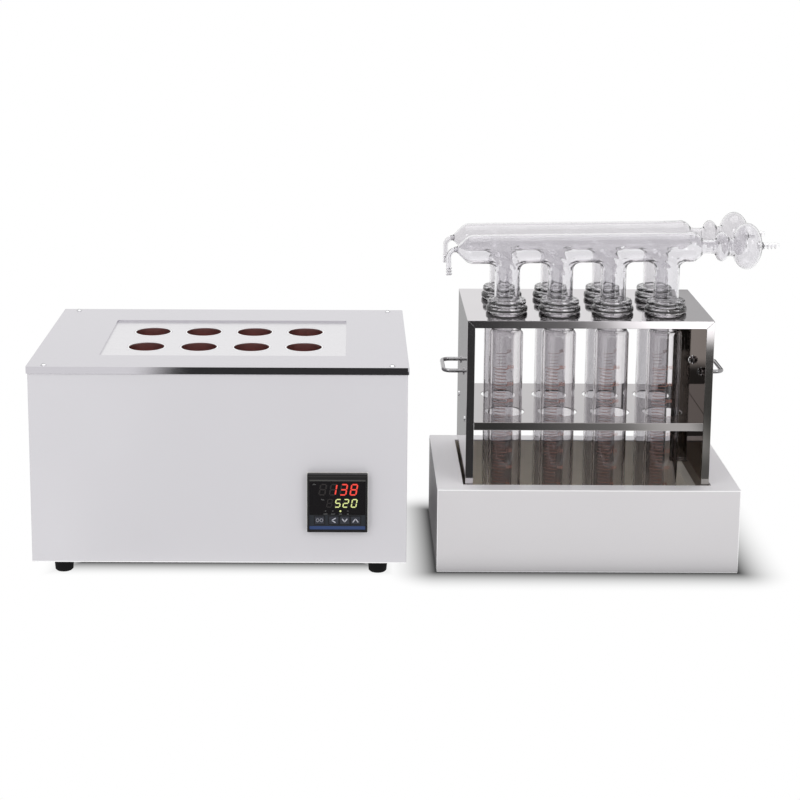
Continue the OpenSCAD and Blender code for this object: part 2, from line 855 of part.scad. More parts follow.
// Wires from the inlet to the terminals, on to the relay, the heaters and the controller
module wiring_loom() {
    term_z = bottom_top + 8;
    deck_z = term_z + deck_rise;
    relay_top = relay_z + 12 - 0.1;
    lead_x = well_shift_x - block_w / 2 - insulation_t - sheet - 18.6;
    color([0.75, 0.15, 0.12]) on_heater() {
        for (i = [0, 1])
            wire([[inlet_x - 6 + i * 12, inlet_back, inlet_z],
                  [inlet_x - 6 + i * 12, inlet_back - 12, inlet_z],
                  [terminal_x - 5.5 + i * 11, terminal_y + 8, term_z + 20],
                  [terminal_x - 5.5 + i * 11, terminal_y + 8, term_z]], wire_size);
        for (i = [0, 1])
            wire([[terminal_x + 16.5 + i * 11, terminal_y - 8, term_z],
                  [terminal_x + 16.5 + i * 11, terminal_y - 8, relay_top + 6 + i * 8],
                  [relay_x - 13, relay_y + 24 - i * 48, relay_top + 6 + i * 8],
                  [relay_x - 13, relay_y + 24 - i * 48, relay_top]], wire_size);
        for (i = [0 : 3])
            wire([[lead_x, well_shift_y + (i - 1.5) * cartridge_pitch + 3, cartridge_z],
                  [lead_x - 12, well_shift_y + (i - 1.5) * cartridge_pitch + 3, cartridge_z],
                  [lead_x - 12, well_shift_y + (i - 1.5) * cartridge_pitch + 3, deck_z + i * 6],
                  [terminal_x - 27.5 + i * 11, terminal_y - 8, deck_z + i * 6],
                  [terminal_x - 27.5 + i * 11, terminal_y - 8, term_z]], wire_size);
        wire([[controller_x - 22, case_back, controller_mid_z - 14.25],
              [controller_x - 22, case_back + 20, controller_mid_z - 14.25],
              [relay_x + 13, relay_y - 24, relay_top + 24],
              [relay_x + 13, relay_y - 24, relay_top]], wire_size);
    }
}

// ---- rear panel ----

module mains_inlet() {
    flange_w = 48;
    flange_h = 26;
    pin = 2;
    depth = inlet_depth;
    gap = 0.3;
    color([0.08, 0.08, 0.08]) on_heater() translate([inlet_x, rear_y, inlet_z]) {
        difference() {
            union() {
                rotate([-90, 0, 0]) linear_extrude(inlet_proud) rounded_rect(flange_w, flange_h, 3);
                block(0, 0.1 - depth / 2, -inlet_h / 2 + gap, inlet_w - 2 * gap, depth,
                      inlet_h - 2 * gap);
            }
            block(0, inlet_proud, -7, 22, 2 * 17, 14);
            for (x = [-1, 1])
                translate([x * 20, -over, 0]) rotate([-90, 0, 0])
                    cylinder(d = 3.4, h = inlet_proud + 2 * over);
        }
        for (x = [-1, 0, 1])
            block(x * 7, -10, (x == 0 ? 1 : -3), pin, 16, 4);
    }
}

module rocker_housing() {
    flange = 3;
    gap = 0.2;
    depth = 18;
    open_d = depth - 3;
    color([0.07, 0.07, 0.07]) on_heater() translate([inlet_x, rear_y, rocker_z]) difference() {
        union() {
            rotate([-90, 0, 0]) linear_extrude(2)
                rounded_rect(rocker_w + 2 * flange, rocker_h + 2 * flange, 1.5);
            block(0, -depth / 2 + 0.1, -rocker_h / 2 + gap, rocker_w - 2 * gap, depth,
                  rocker_h - 2 * gap);
        }
        block(0, 2.5 - open_d / 2, -rocker_h / 2 + rocker_wall, rocker_w - 2 * rocker_wall, open_d,
              rocker_h - 2 * rocker_wall);
        translate([0, rocker_pivot_y, 0]) rotate([0, 90, 0])
            cylinder(d = rocker_pin_d + 0.1, h = rocker_w + 2 * flange, center = true);
    }
}

// The rocker's section in Y and Z: a shallow vee, tilted so that its lower half stands out
module power_rocker() {
    swing = 1.2;
    half = rocker_h / 2 - rocker_wall - rocker_gap - swing;
    w = rocker_w - 2 * (rocker_wall + rocker_gap);
    skirt = 4.2;
    belly = -4;
    rise = rocker_proud / 4;
    color([0.75, 0.08, 0.06]) on_heater() translate([inlet_x, rear_y, rocker_z]) {
        rotate([90, 0, 90]) linear_extrude(w, center = true)
            polygon([[belly + 1.4, half], [0.2, half], [rise, 0], [rocker_proud, -half],
                     [rocker_proud - skirt, -half], [belly + 0.8, -half / 2], [belly, 0],
                     [belly + 0.4, half / 2]]);
        translate([0, rocker_pivot_y, 0]) rotate([0, 90, 0])
            cylinder(d = rocker_pin_d, h = w + 2 * (rocker_gap + rocker_wall) - 0.4, center = true);
    }
}

// ---- drip tray ----

module tray_shell() {
    base_flange = 8;
    color([0.88, 0.88, 0.87]) on_tray() difference() {
        linear_extrude(tray_h) rounded_rect(tray_w, tray_d, corner_r);
        block(0, 0, tray_sheet, tray_w - 2 * tray_sheet, tray_d - 2 * tray_sheet,
              tray_h - 2 * tray_sheet);
        block(0, 0, -over, tray_w - 2 * base_flange, tray_d - 2 * base_flange,
              tray_sheet + 2 * over);
        block(0, 0, tray_h - tray_sheet - over, opening_w, opening_d, tray_sheet + 2 * over);
    }
}

module tray_basin() {
    fit = 0.3;
    lip = 12;
    top = tray_h - tray_sheet;
    w = opening_w + 2 * fit;
    d = opening_d + 2 * fit;
    low_w = opening_w - 2 * ledge_w;
    color([0.45, 0.44, 0.4]) on_tray() difference() {
        union() {
            block(0, 0, top - basin_sheet, w + 2 * lip, d + 2 * lip, basin_sheet);
            block(0, 0, ledge_z - basin_sheet, w + 2 * basin_sheet, d + 2 * basin_sheet,
                  top - ledge_z);
            block(0, 0, basin_lift, low_w + 2 * basin_sheet, d + 2 * basin_sheet,
                  ledge_z - basin_lift);
        }
        block(0, 0, ledge_z, w, d, ledge_drop);
        block(0, 0, basin_lift + basin_sheet, low_w, d, ledge_z);
    }
}

// ---- rack ----

// The frame is one bent sheet: a top plate and two sides, with flanges along every edge
module rack_frame() {
    inner_w = rack_w - 2 * rack_sheet;
    throat_w = rack_w - 2 * rack_flange;
    color([0.6, 0.58, 0.56]) on_tray() difference() {
        block(0, 0, rack_z, rack_w, rack_d, rack_h);
        block(0, 0, rack_z + rack_sheet, inner_w, rack_d - 2 * rack_sheet,
              rack_h - 2 * rack_sheet);
        block(0, 0, rack_z - over, throat_w, rack_d - 2 * rack_sheet, rack_h / 2);
        block(0, 0, rack_z - over, throat_w, rack_d + 2 * over, rack_h - rack_flange + over);
        block(0, 0, rack_z - over, inner_w, rack_d - 2 * rack_flange, rack_h / 2);
        at_each_tube() translate([0, 0, rack_top - rack_sheet - over])
            cylinder(d = tube_d + top_hole_clear, h = rack_sheet + 2 * over);
        for (x = [-1, 1])
            for (y = [-1, 1]) {
                translate([x * rack_w / 2, y * handle_span / 2, handle_z]) rotate([0, 90, 0])
                    cylinder(d = wire_d + 0.4, h = 4 * rack_sheet, center = true);
                translate([x * rack_w / 2, y * rivet_y, shelf_z - shelf_lip / 2])
                    rotate([0, 90, 0])
                        cylinder(d = rivet_d, h = 4 * rack_sheet, center = true);
            }
    }
}

rivet_d = 4;
rivet_y = 60;

// The shelf: a sheet with lips turned down, its corners cut out round the rack's flanges
module rack_shelf() {
    throat_w = rack_w - 2 * (rack_flange + rack_fit);
    inner_d = rack_d - 2 * (rack_sheet + rack_fit);
    tab_w = 12;
    color([0.62, 0.6, 0.58]) on_tray() difference() {
        union() {
            block(0, 0, shelf_z - shelf_sheet, shelf_w, inner_d, shelf_sheet);
            block(0, 0, shelf_z - shelf_sheet, throat_w, rack_d, shelf_sheet);
            for (y = [-1, 1])
                block(0, y * (rack_d - shelf_sheet) / 2, shelf_z - shelf_lip, throat_w,
                      shelf_sheet, shelf_lip);
            for (x = [-1, 1])
                for (y = [-1, 1])
                    block(x * (shelf_w - shelf_sheet) / 2, y * rivet_y, shelf_z - shelf_lip,
                          shelf_sheet, tab_w, shelf_lip);
        }
        at_each_tube() translate([0, 0, shelf_z - shelf_sheet - over])
            cylinder(d = tube_d + shelf_hole_clear, h = shelf_sheet + 2 * over);
        for (x = [-1, 1])
            for (y = [-1, 1])
                translate([x * shelf_w / 2, y * rivet_y, shelf_z - shelf_lip / 2])
                    rotate([0, 90, 0])
                        cylinder(d = rivet_d, h = 4 * shelf_sheet, center = true);
    }
}

module shelf_rivets() {
    head_d = 7;
    head_t = 1;
    stack = rack_sheet + rack_fit + shelf_sheet;
    color([0.7, 0.7, 0.71]) on_tray()
        for (x = [-1, 1])
            for (y = [-1, 1])
                translate([x * rack_w / 2, y * rivet_y, shelf_z - shelf_lip / 2])
                    rotate([0, x * 90, 0]) {
                        translate([0, 0, -stack]) cylinder(d = rivet_d - 0.05, h = stack + 0.1);
                        cylinder(d = head_d, h = head_t);
                        translate([0, 0, -stack - head_t]) cylinder(d = head_d - 1, h = head_t);
                    }
}

// A wire handle: two legs through the side of the rack and a grip between two bends
module handle(side) {
    out = handle_reach - wire_d / 2;
    leg = out - handle_bend;
    inward = rack_sheet + nut_t + 1.5;
    color([0.8, 0.8, 0.82]) on_tray()
        translate([side * rack_w / 2, 0, handle_z]) rotate([0, 0, side > 0 ? 0 : 180]) {
            for (y = [-1, 1]) {
                translate([-inward, y * handle_span / 2, 0]) rotate([0, 90, 0])
                    cylinder(d = wire_d, h = inward + leg);
                translate([0.05, y * handle_span / 2, 0]) rotate([0, 90, 0])
                    cylinder(d = 2 * wire_d, h = washer_t);
                translate([leg, y * (handle_span / 2 - handle_bend), 0])
                    rotate([0, 0, y > 0 ? 0 : -90]) rotate_extrude(angle = 90)
                        translate([handle_bend, 0]) circle(d = wire_d, $fn = 32);
            }
            translate([out, 0, 0]) rotate([90, 0, 0])
                cylinder(d = wire_d, h = handle_span - 2 * handle_bend, center = true);
        }
}

module left_handle() { handle(-1); }
module right_handle() { handle(1); }

module handle_nuts() {
    color([0.8, 0.8, 0.82]) on_tray()
        for (x = [-1, 1])
            for (y = [-1, 1])
                translate([x * (rack_w / 2 - rack_sheet), y * handle_span / 2, handle_z])
                    rotate([0, -x * 90, 0]) difference() {
                        union() {
                            translate([0, 0, 0.05]) cylinder(d = nut_size * 1.4, h = 0.8);
                            translate([0, 0, 0.8]) cylinder(d = nut_size / cos(30), h = nut_t - 0.8,
                                                            $fn = 6);
                        }
                        translate([0, 0, -over]) cylinder(d = wire_d + 0.02, h = nut_t + 2 * over);
                    }
}

// ---- glass ----

// Half the outline of a tube, drawn inward by t: round bottom, body, shoulder and neck
module tube_outline(t) {
    top = tube_l - rim_h - neck_l;
    intersection() {
        union() {
            translate([0, tube_r]) circle(tube_r - t);
            translate([0, tube_r]) square([tube_r - t, top - shoulder_r - tube_r]);
            translate([0, top - shoulder_r - 0.01]) square([neck_r - t, neck_l + rim_h + shoulder_r]);
            translate([neck_r, top - shoulder_r]) circle(shoulder_r - t, $fn = 32);
            translate([0, top - shoulder_r - 0.01]) square([neck_r, shoulder_r - t]);
        }
        square([tube_r, tube_l + over]);
    }
}

// A rounded collar: outer radius r, height h, from the axis outward
module collar(r, h) {
    round_r = min(2.5, h / 2 - 0.2);
    square([r - round_r, h]);
    translate([0, round_r]) square([r, h - 2 * round_r]);
    for (y = [round_r, h - round_r])
        translate([r - round_r, y]) circle(round_r, $fn = 32);
}

module tube(i, row) {
    mouth_r = neck_r - tube_wall;
    color([0.85, 0.9, 0.92, 0.4]) on_tray()
        translate([column_x(i), row * row_pitch / 2, tube_bottom])
            rotate_extrude() difference() {
                union() {
                    tube_outline(0);
                    translate([0, tube_l - rim_h]) collar(rim_d / 2, rim_h);
                }
                tube_outline(tube_wall);
                translate([0, tube_l - rim_h - neck_l]) square([mouth_r, rim_h + neck_l + over]);
            }
}

module tube_front_1() { tube(0, -1); }
module tube_front_2() { tube(1, -1); }
module tube_front_3() { tube(2, -1); }
module tube_front_4() { tube(3, -1); }
module tube_rear_1() { tube(0, 1); }
module tube_rear_2() { tube(1, 1); }
module tube_rear_3() { tube(2, 1); }
module tube_rear_4() { tube(3, 1); }

// Points of a bulb's outline from one neck radius to the next: half-width a, radius b
function bulb(at, a, b, r_in, r_out, steps) =
    let (start = 180 - asin(r_in / b), stop = asin(r_out / b))
    [for (i = [0 : steps])
        let (angle = start + (stop - start) * i / steps)
        [b * sin(angle), at + a * cos(angle)]];

// Points of a quadratic curve with control point q
function bend(p, q, s, steps) =
    [for (i = [0 : steps])
        let (t = i / steps)
        (1 - t) * (1 - t) * p + 2 * t * (1 - t) * q + t * t * s];

// The glass line along the main pipe, drawn inward by t, from the left taper to the big bulb
function pipe_line(t) = concat(
    [[hook_root - t, -pipe_left - taper_l + 1]],
    bend([hook_root + 2 - t, -pipe_left - taper_l + 4], [pipe_r - t, -pipe_left - 1],
         [pipe_r - t, -pipe_left + 7], 8),
    bend([pipe_r - t, pipe_right], [pipe_r - t, pipe_right + dome_l - t],
         [neck_1_r - t, pipe_right + dome_l + 2], 8),
    [[neck_1_r - t, pipe_right + dome_l + 6]],
    bulb(small_bulb_at, small_bulb_half - t, small_bulb_d / 2 - t, neck_1_r - t + 1.5,
         neck_2_r - t + 1, 14),
    [[neck_2_r - t, (small_bulb_at + big_bulb_at) / 2 - 1]],
    bulb(big_bulb_at, big_bulb_half - t, big_bulb_d / 2 - t, neck_2_r - t + 1.5,
         barb_root + 1, 20));

// The barb's outline: ribs that slope up to the pipe and end in a step
function barb_line(at, length) =
    let (step = length / (barb_ribs + 1))
    [for (i = [0 : barb_ribs - 1])
        for (p = [[barb_root, at + (i + 0.6) * step], [barb_r, at + (i + 0.8) * step],
                  [barb_root, at + (i + 1.5) * step]])
            p];

// Places on the pipe's axis, before it slopes
module along_pipe() {
    translate([0, 0, pipe_z]) rotate([0, -pipe_slope, 0]) children();
}

module pipe_outside() {
    along_pipe() {
        rotate([0, 90, 0]) rotate_extrude() polygon(concat(
            [[0, -pipe_left - taper_l + 1]], pipe_line(0),
            barb_line(barb_at, barb_l), [[barb_root, barb_end], [0, barb_end]]));
        hook(2 * hook_root);
        for (i = [0 : 2])
            translate([-pipe_left - taper_l - hook_bend, 0, -hook_drop - 1 - i * 3.5])
                cylinder(r1 = hook_root + 0.1, r2 = hook_root + 0.9, h = 2.2);
    }
}

// The hook at the left end: on from the taper, a quarter bend, and straight down
module hook(d) {
    start = -pipe_left - taper_l;
    translate([start, 0, 0]) rotate([0, 90, 0]) cylinder(d = d, h = 6);
    translate([start, 0, -hook_bend]) rotate([90, 0, 0]) rotate([0, 0, 90])
        rotate_extrude(angle = 90) translate([hook_bend, 0]) circle(d = d, $fn = 32);
    translate([start - hook_bend, 0, -hook_bend - hook_drop]) cylinder(d = d, h = hook_drop);
}

module pipe_inside() {
    along_pipe() {
        rotate([0, 90, 0]) rotate_extrude() polygon(concat(
            [[0, -pipe_left - taper_l + 3], [barb_bore / 2, -pipe_left - taper_l + 3]],
            [for (p = pipe_line(glass_wall)) if (p[1] > -pipe_left - taper_l + 3.5) p],
            [[barb_bore / 2, barb_at - 1], [barb_bore / 2, barb_end + over],
             [0, barb_end + over]]));
        hook(barb_bore);
        translate([-pipe_left - taper_l - hook_bend, 0, -hook_bend - hook_drop - over])
            cylinder(d = barb_bore, h = 2 * over);
    }
}

// The fillet between a drop and the pipe, kept within the drop's width
module tee_collar() {
    top = tee_fillet + pipe_r * 0.55;
    intersection() {
        translate([0, 0, pipe_z - pipe_r - tee_fillet]) rotate_extrude() difference() {
            square([drop_d / 2 + tee_fillet, top]);
            translate([drop_d / 2 + tee_fillet, 0]) circle(tee_fillet, $fn = 40);
        }
        block(0, 0, pipe_z - 2 * pipe_d, 2 * pipe_d, drop_d * 0.72, 2 * pipe_d);
    }
}

module manifold(row) {
    color([0.85, 0.9, 0.92, 0.4]) on_tray() translate([0, row * row_pitch / 2, 0])
        difference() {
            union() {
                pipe_outside();
                for (i = [0 : columns - 1])
                    translate([column_x(i), 0, 0]) {
                        translate([0, 0, flange_z]) cylinder(d = drop_d, h = pipe_z - flange_z);
                        translate([0, 0, flange_z]) rotate_extrude() collar(flange_d / 2, flange_h);
                        tee_collar();
                    }
            }
            pipe_inside();
            for (i = [0 : columns - 1])
                translate([column_x(i), 0, flange_z - over])
                    cylinder(d = drop_d - 2 * glass_wall, h = pipe_z - flange_z + over);
        }
}

module front_manifold() { manifold(-1); }
module rear_manifold() { manifold(1); }

cabinet_shell();
bottom_plate();
top_cover();
well_plate();
cover_screws();
plate_screws();
rubber_feet();
foot_screws();
heating_block();
well_sleeves();
insulation_jacket();
inner_box();
box_pillars();
cartridge_heaters();
temperature_probe();
overheat_cutout();
controller_gasket();
controller_bezel();
display_window();
controller_case();
controller_clamp();
set_key();
shift_key();
down_key();
up_key();
solid_state_relay();
relay_heat_sink();
terminal_block();
wiring_loom();
earth_stud();
mains_inlet();
rocker_housing();
power_rocker();
tray_shell();
tray_basin();
rack_frame();
rack_shelf();
shelf_rivets();
left_handle();
right_handle();
handle_nuts();
tube_front_1();
tube_front_2();
tube_front_3();
tube_front_4();
tube_rear_1();
tube_rear_2();
tube_rear_3();
tube_rear_4();
front_manifold();
rear_manifold();
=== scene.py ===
# %% [markdown]
# # Dressing a block digester
#
# The object is a laboratory set. At the left stands a heater unit with eight wells in its lid and a
# temperature controller in its front. At the right a polished rack stands in a drip tray and holds
# eight glass digestion tubes. Two blown-glass manifolds lie on the tubes and lead the fumes away.
#
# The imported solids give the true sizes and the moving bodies. This file gives them their finish,
# and builds the pieces whose looks need more than the solids hold: glass, print, digits and bright
# edges.

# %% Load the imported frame
import math

import bmesh
import bpy
import numpy as np
from mathutils import Matrix, Vector


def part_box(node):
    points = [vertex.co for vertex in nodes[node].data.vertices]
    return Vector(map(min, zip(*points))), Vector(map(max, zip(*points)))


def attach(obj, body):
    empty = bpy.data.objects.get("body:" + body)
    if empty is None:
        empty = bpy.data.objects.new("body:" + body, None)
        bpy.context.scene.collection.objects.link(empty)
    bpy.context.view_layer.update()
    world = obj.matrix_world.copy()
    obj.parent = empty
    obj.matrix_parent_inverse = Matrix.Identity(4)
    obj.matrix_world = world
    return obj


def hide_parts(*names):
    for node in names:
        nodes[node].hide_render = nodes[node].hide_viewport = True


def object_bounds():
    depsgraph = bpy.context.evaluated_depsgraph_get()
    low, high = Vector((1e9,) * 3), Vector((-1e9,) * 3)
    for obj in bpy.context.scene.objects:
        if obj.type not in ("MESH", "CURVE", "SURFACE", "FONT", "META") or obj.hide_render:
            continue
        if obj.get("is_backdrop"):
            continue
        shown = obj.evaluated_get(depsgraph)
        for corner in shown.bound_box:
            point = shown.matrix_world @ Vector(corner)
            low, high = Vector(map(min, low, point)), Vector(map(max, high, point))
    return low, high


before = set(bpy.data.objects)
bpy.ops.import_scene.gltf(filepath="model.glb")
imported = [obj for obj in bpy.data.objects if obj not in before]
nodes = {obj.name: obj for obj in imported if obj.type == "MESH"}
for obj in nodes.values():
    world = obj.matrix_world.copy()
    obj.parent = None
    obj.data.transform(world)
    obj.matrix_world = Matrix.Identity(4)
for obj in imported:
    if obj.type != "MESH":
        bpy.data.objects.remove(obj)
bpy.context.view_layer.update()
scene = bpy.context.scene
MM = 0.001


def linked(name, data):
    """A new object in the scene, for a mesh, a curve, a lamp or the camera."""
    item = bpy.data.objects.new(name, data)
    scene.collection.objects.link(item)
    return item


def mesh_of(name, points, faces):
    mesh = bpy.data.meshes.new(name)
    mesh.from_pydata(points, [], faces)
    return mesh


def baked(item):
    """The mesh that an object gives; the object itself goes."""
    graph = bpy.context.evaluated_depsgraph_get()
    mesh = bpy.data.meshes.new_from_object(item.evaluated_get(graph))
    bpy.data.objects.remove(item)
    return mesh


def finished(work, mesh, material=None):
    """Write a bmesh into a mesh, which may be given by its name."""
    mesh = bpy.data.meshes.new(mesh) if isinstance(mesh, str) else mesh
    work.to_mesh(mesh)
    work.free()
    if material:
        mesh.materials.append(material)
    return mesh


# %% [markdown]
# ## Camera
#
# A product photograph like this one is taken from some metres away with a long lens, so that
# upright edges stay nearly parallel. The camera's place and turn come from the picture's own
# corners and round holes. It looks about ten degrees down and a shifted lens does the rest, as on a
# studio camera, so its directions are written as a matrix and not as a target.

# %% The camera at the photograph's place
camera_data = bpy.data.cameras.new("photo_camera")
camera = linked("photo_camera", camera_data)
camera_right = Vector((0.999992, 0.002068, 0.003544))
camera_down = Vector((0.00386, -0.18036, -0.983593))
camera_ahead = Vector((-0.001394, 0.983598, -0.180367))
camera_place = Vector((-0.0705, -2.29305, 0.80699))
camera_axes = (camera_right, -camera_down, -camera_ahead, camera_place)
camera.matrix_world = Matrix([[c[i] for c in camera_axes] for i in range(3)] + [[0, 0, 0, 1]])
picture_size, focal_pixels, axis_x, axis_y = 800, 1866.4, 347.7, 240
camera_data.sensor_width = 36
camera_data.lens = focal_pixels / picture_size * camera_data.sensor_width
camera_data.shift_x = 0.5 - axis_x / picture_size
camera_data.shift_y = axis_y / picture_size - 0.5
camera_data.clip_end = 50
scene.camera = camera
scene.view_settings.view_transform = "Standard"
print("lens", round(camera_data.lens, 1), "shift", camera_data.shift_x, camera_data.shift_y)

# %% [markdown]
# ## Small helpers for node trees
#
# Materials and Geometry Nodes are both built by script, so a few short helpers save many lines: one
# adds a node and fills its inputs, others do sums, ranges and places.

# %% Node helpers
def add_node(tree, kind, inputs=None, **settings):
    node = tree.nodes.new(kind)
    for name, value in settings.items():
        setattr(node, name, value)
    for socket, value in (inputs or {}).items():
        if isinstance(value, bpy.types.NodeSocket):
            tree.links.new(value, node.inputs[socket])
        else:
            node.inputs[socket].default_value = value
    return node


def math_node(tree, operation, *values):
    return add_node(tree, "ShaderNodeMath", dict(enumerate(values)),
                    operation=operation).outputs[0]


def times(tree, a, b):
    return math_node(tree, "MULTIPLY", a, b)


def spread(tree, value, start, stop, low, high, kind="LINEAR"):
    ends = {"Value": value, "From Min": start, "From Max": stop, "To Min": low, "To Max": high}
    return add_node(tree, "ShaderNodeMapRange", ends, interpolation_type=kind).outputs[0]


def ramp(tree, *values):
    return spread(tree, *values, kind="SMOOTHSTEP")


def place_in(tree):
    """Object coordinates, an output for each axis. They are metres in the shared frame."""
    place = add_node(tree, "ShaderNodeTexCoord")
    return add_node(tree, "ShaderNodeSeparateXYZ", {0: place.outputs["Object"]}).outputs


def colour(values, alpha=1.0):
    return (*values, alpha)


print("pale grey as a colour:", colour((0.8, 0.8, 0.8)))

# %% [markdown]
# ## Studio
#
# The background is white, with a soft shadow under the object. The floor is a sheet that shines by
# itself; the shadow near the object is painted into its brightness by the distance to the cabinet's
# and the tray's outlines, and fades to plain white further out. The world is white for the camera
# and for what shines or shows through. Polished steel in a studio mostly mirrors what stands in
# front of it: here dark cards lie on the floor and stand at the side. The camera and the soft light
# don't see the cards, only reflections do, as with the black flags of photographers.

# %% World
world = bpy.data.worlds.new("studio")
scene.world = world
world.use_nodes = True
tree = world.node_tree
tree.nodes.clear()
path = add_node(tree, "ShaderNodeLightPath")
seen = math_node(tree, "MAXIMUM", path.outputs["Is Camera Ray"], path.outputs["Is Glossy Ray"])
seen = math_node(tree, "MAXIMUM", seen, path.outputs["Is Transmission Ray"])
soft, white = [
    add_node(tree, "ShaderNodeBackground", {"Color": colour(tone), "Strength": light}).outputs[0]
    for tone, light in (((0.97, 0.98, 1.0), 0.72), ((1, 1, 1), 1.0))]
mixed = add_node(tree, "ShaderNodeMixShader", {0: seen, 1: soft, 2: white})
add_node(tree, "ShaderNodeOutputWorld", {"Surface": mixed.outputs[0]})
print("world ready")

# %% Floor, lamps and dark card
def painted_floor_shadow(tree, x, y, name, start, reach, least):
    """Painted shadow: dark at start metres outside a node's outline, and white from reach metres
    further out.
    """
    low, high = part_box(name)
    middle, half = (low + high) / 2, (high - low) / 2
    over = []
    for value, centre, size in ((x, middle.x, half.x), (y, middle.y, half.y)):
        away = math_node(tree, "ABSOLUTE", math_node(tree, "SUBTRACT", value, centre))
        over.append(math_node(tree, "SUBTRACT", away, size))
    out = [math_node(tree, "POWER", math_node(tree, "MAXIMUM", v, 0.0), 2.0) for v in over]
    outside = math_node(tree, "SQRT", math_node(tree, "ADD", *out))
    inside = math_node(tree, "MINIMUM", math_node(tree, "MAXIMUM", *over), 0.0)
    distance = math_node(tree, "ADD", outside, inside)
    left = spread(tree, distance, start, start + reach, 1.0, 0.0)
    dark = math_node(tree, "POWER", left, 2.0)
    return math_node(tree, "SUBTRACT", 1.0, times(tree, dark, 1.0 - least))


def lit_sheet(name, finish, corners, build):
    """A staged sheet that shines by itself. The function build gives its brightness by place."""
    material = bpy.data.materials.new(finish)
    material.use_nodes = True
    tree = material.node_tree
    tree.nodes.clear()
    shade = build(tree, *place_in(tree))
    glow = add_node(tree, "ShaderNodeEmission", {"Color": shade, "Strength": 1.0})
    add_node(tree, "ShaderNodeOutputMaterial", {"Surface": glow.outputs[0]})
    mesh = mesh_of(name, corners, [(0, 1, 2, 3)])
    mesh.materials.append(material)
    sheet = linked(name, mesh)
    sheet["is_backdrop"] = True
    return sheet


def reflected_card(name, corners, build, through=False):
    """A sheet that only mirrors see, and with through also what shines through glass."""
    card = lit_sheet(name, name, corners, build)
    for seer in ("camera", "diffuse", "shadow", "volume_scatter"):
        setattr(card, "visible_" + seer, False)
    card.visible_transmission = through


def lying(x0, y0, x1, y1, z=0.002):
    return [(x0, y0, z), (x1, y0, z), (x1, y1, z), (x0, y1, z)]


def floor_glow(tree, x, y, z):
    return math_node(tree, "MINIMUM",
                     painted_floor_shadow(tree, x, y, "cabinet_shell", -0.054, 0.05, 0.05),
                     painted_floor_shadow(tree, x, y, "tray_shell", 0.001, 0.066, 0.06))


def front_glow(tree, x, y, z):
    left = ramp(tree, x, -0.45, -0.36, 1.0, 0.0)
    middle = ramp(tree, x, 0.14, 0.38, 0.045, 0.2)
    warm = ramp(tree, x, 0.34, 0.43, 0.0, 0.34)
    warm = times(tree, warm, ramp(tree, y, -0.64, -0.5, 1.0, 0.0))
    gone = ramp(tree, x, 0.45, 0.5, 1.0, 0.2)
    near = times(tree, math_node(tree, "ADD", middle, warm), gone)
    far = times(tree, ramp(tree, x, 0.4, 0.54, 0.0, 2.0), ramp(tree, y, -1.36, -1.22, 1.0, 0.0))
    return math_node(tree, "ADD", left, math_node(tree, "ADD", far, near))


def rear_glow(tree, x, y, z):
    far = ramp(tree, x, 0.05, 0.12, 0.4, 0.07)
    near = times(tree, far, ramp(tree, y, 0.1, 0.3, 0.3, 1.0))
    patch = times(tree, ramp(tree, x, 0.06, 0.1, 0.0, 1.0), ramp(tree, y, 0.85, 0.95, 0.0, 1.0))
    return math_node(tree, "ADD", near, patch)


def side_glow(tree, x, y, z):
    return ramp(tree, z, 0.37, 0.43, 0.1, 0.55)


lit_sheet("floor", "floor_paint", lying(-9, -9, 9, 9, 0), floor_glow)
reflected_card("front_card", lying(-0.45, -2.3, 0.75, -0.22), front_glow, through=True)
reflected_card("rear_card", lying(-0.06, -0.12, 0.42, 1.6), rear_glow)
reflected_card("side_card", [(0.42, 0.6, 0.2), (0.8, 0.6, 0.2), (0.8, 0.6, 0.9), (0.42, 0.6, 0.9)],
               side_glow)


def soft_lamp(name, place, target, size, watts):
    data = bpy.data.lights.new(name, "AREA")
    data.shape = "RECTANGLE"
    data.size, data.size_y = size
    data.energy = watts
    lamp = linked(name, data)
    lamp.location = place
    lamp.rotation_euler = (Vector(target) - Vector(place)).to_track_quat("-Z", "Y").to_euler()


soft_lamp("key_left", (-1.5, -2.0, 1.7), (0, 0, 0.15), (0.9, 0.9), 10)
soft_lamp("key_right", (1.5, -2.0, 1.6), (0.1, 0, 0.15), (0.9, 0.9), 9)
soft_lamp("top", (0, 0.3, 2.4), (0, 0, 0), (2.4, 1.8), 16)
print("stage ready")

# %% [markdown]
# ## Finishes
#
# Every finish is a Principled shader with its detail in noise on Object coordinates, which are
# metres in the frame, so a scratch is as long as a real one. Plain numbers stay on the shader's own
# sockets. Where one face of a sheet looks different, its place or its normal picks it out.

# %% Paint, steel and plastic
def new_finish(name, base, roughness, metallic=0.0, **sockets):
    material = bpy.data.materials.new(name)
    material.use_nodes = True
    shader = material.node_tree.nodes["Principled BSDF"]
    shader.inputs["Base Color"].default_value = colour(base)
    shader.inputs["Roughness"].default_value = roughness
    shader.inputs["Metallic"].default_value = metallic
    for socket, value in sockets.items():
        shader.inputs[socket.replace("_", " ")].default_value = value
    return material, material.node_tree, shader


def grain(tree, scale, detail=3.0, stretch=(1, 1, 1)):
    place = add_node(tree, "ShaderNodeTexCoord")
    mapped = add_node(tree, "ShaderNodeMapping",
                      {"Vector": place.outputs["Object"], "Scale": stretch})
    noise = add_node(tree, "ShaderNodeTexNoise",
                     {"Vector": mapped.outputs[0], "Scale": scale, "Detail": detail})
    return noise.outputs["Fac"]


def mix_colours(tree, fac, low, high):
    mix = add_node(tree, "ShaderNodeMix", {0: fac, 6: low, 7: high}, data_type="RGBA")
    return mix.outputs[2]


def parts_of(material):
    return material.node_tree, material.node_tree.nodes["Principled BSDF"]


def recolour(tree, shader, fac, tone):
    """Lay a tone over the base colour so far, wherever fac is 1."""
    before = shader.inputs["Base Color"].links[0].from_socket
    tree.links.new(mix_colours(tree, fac, before, colour(tone)), shader.inputs["Base Color"])


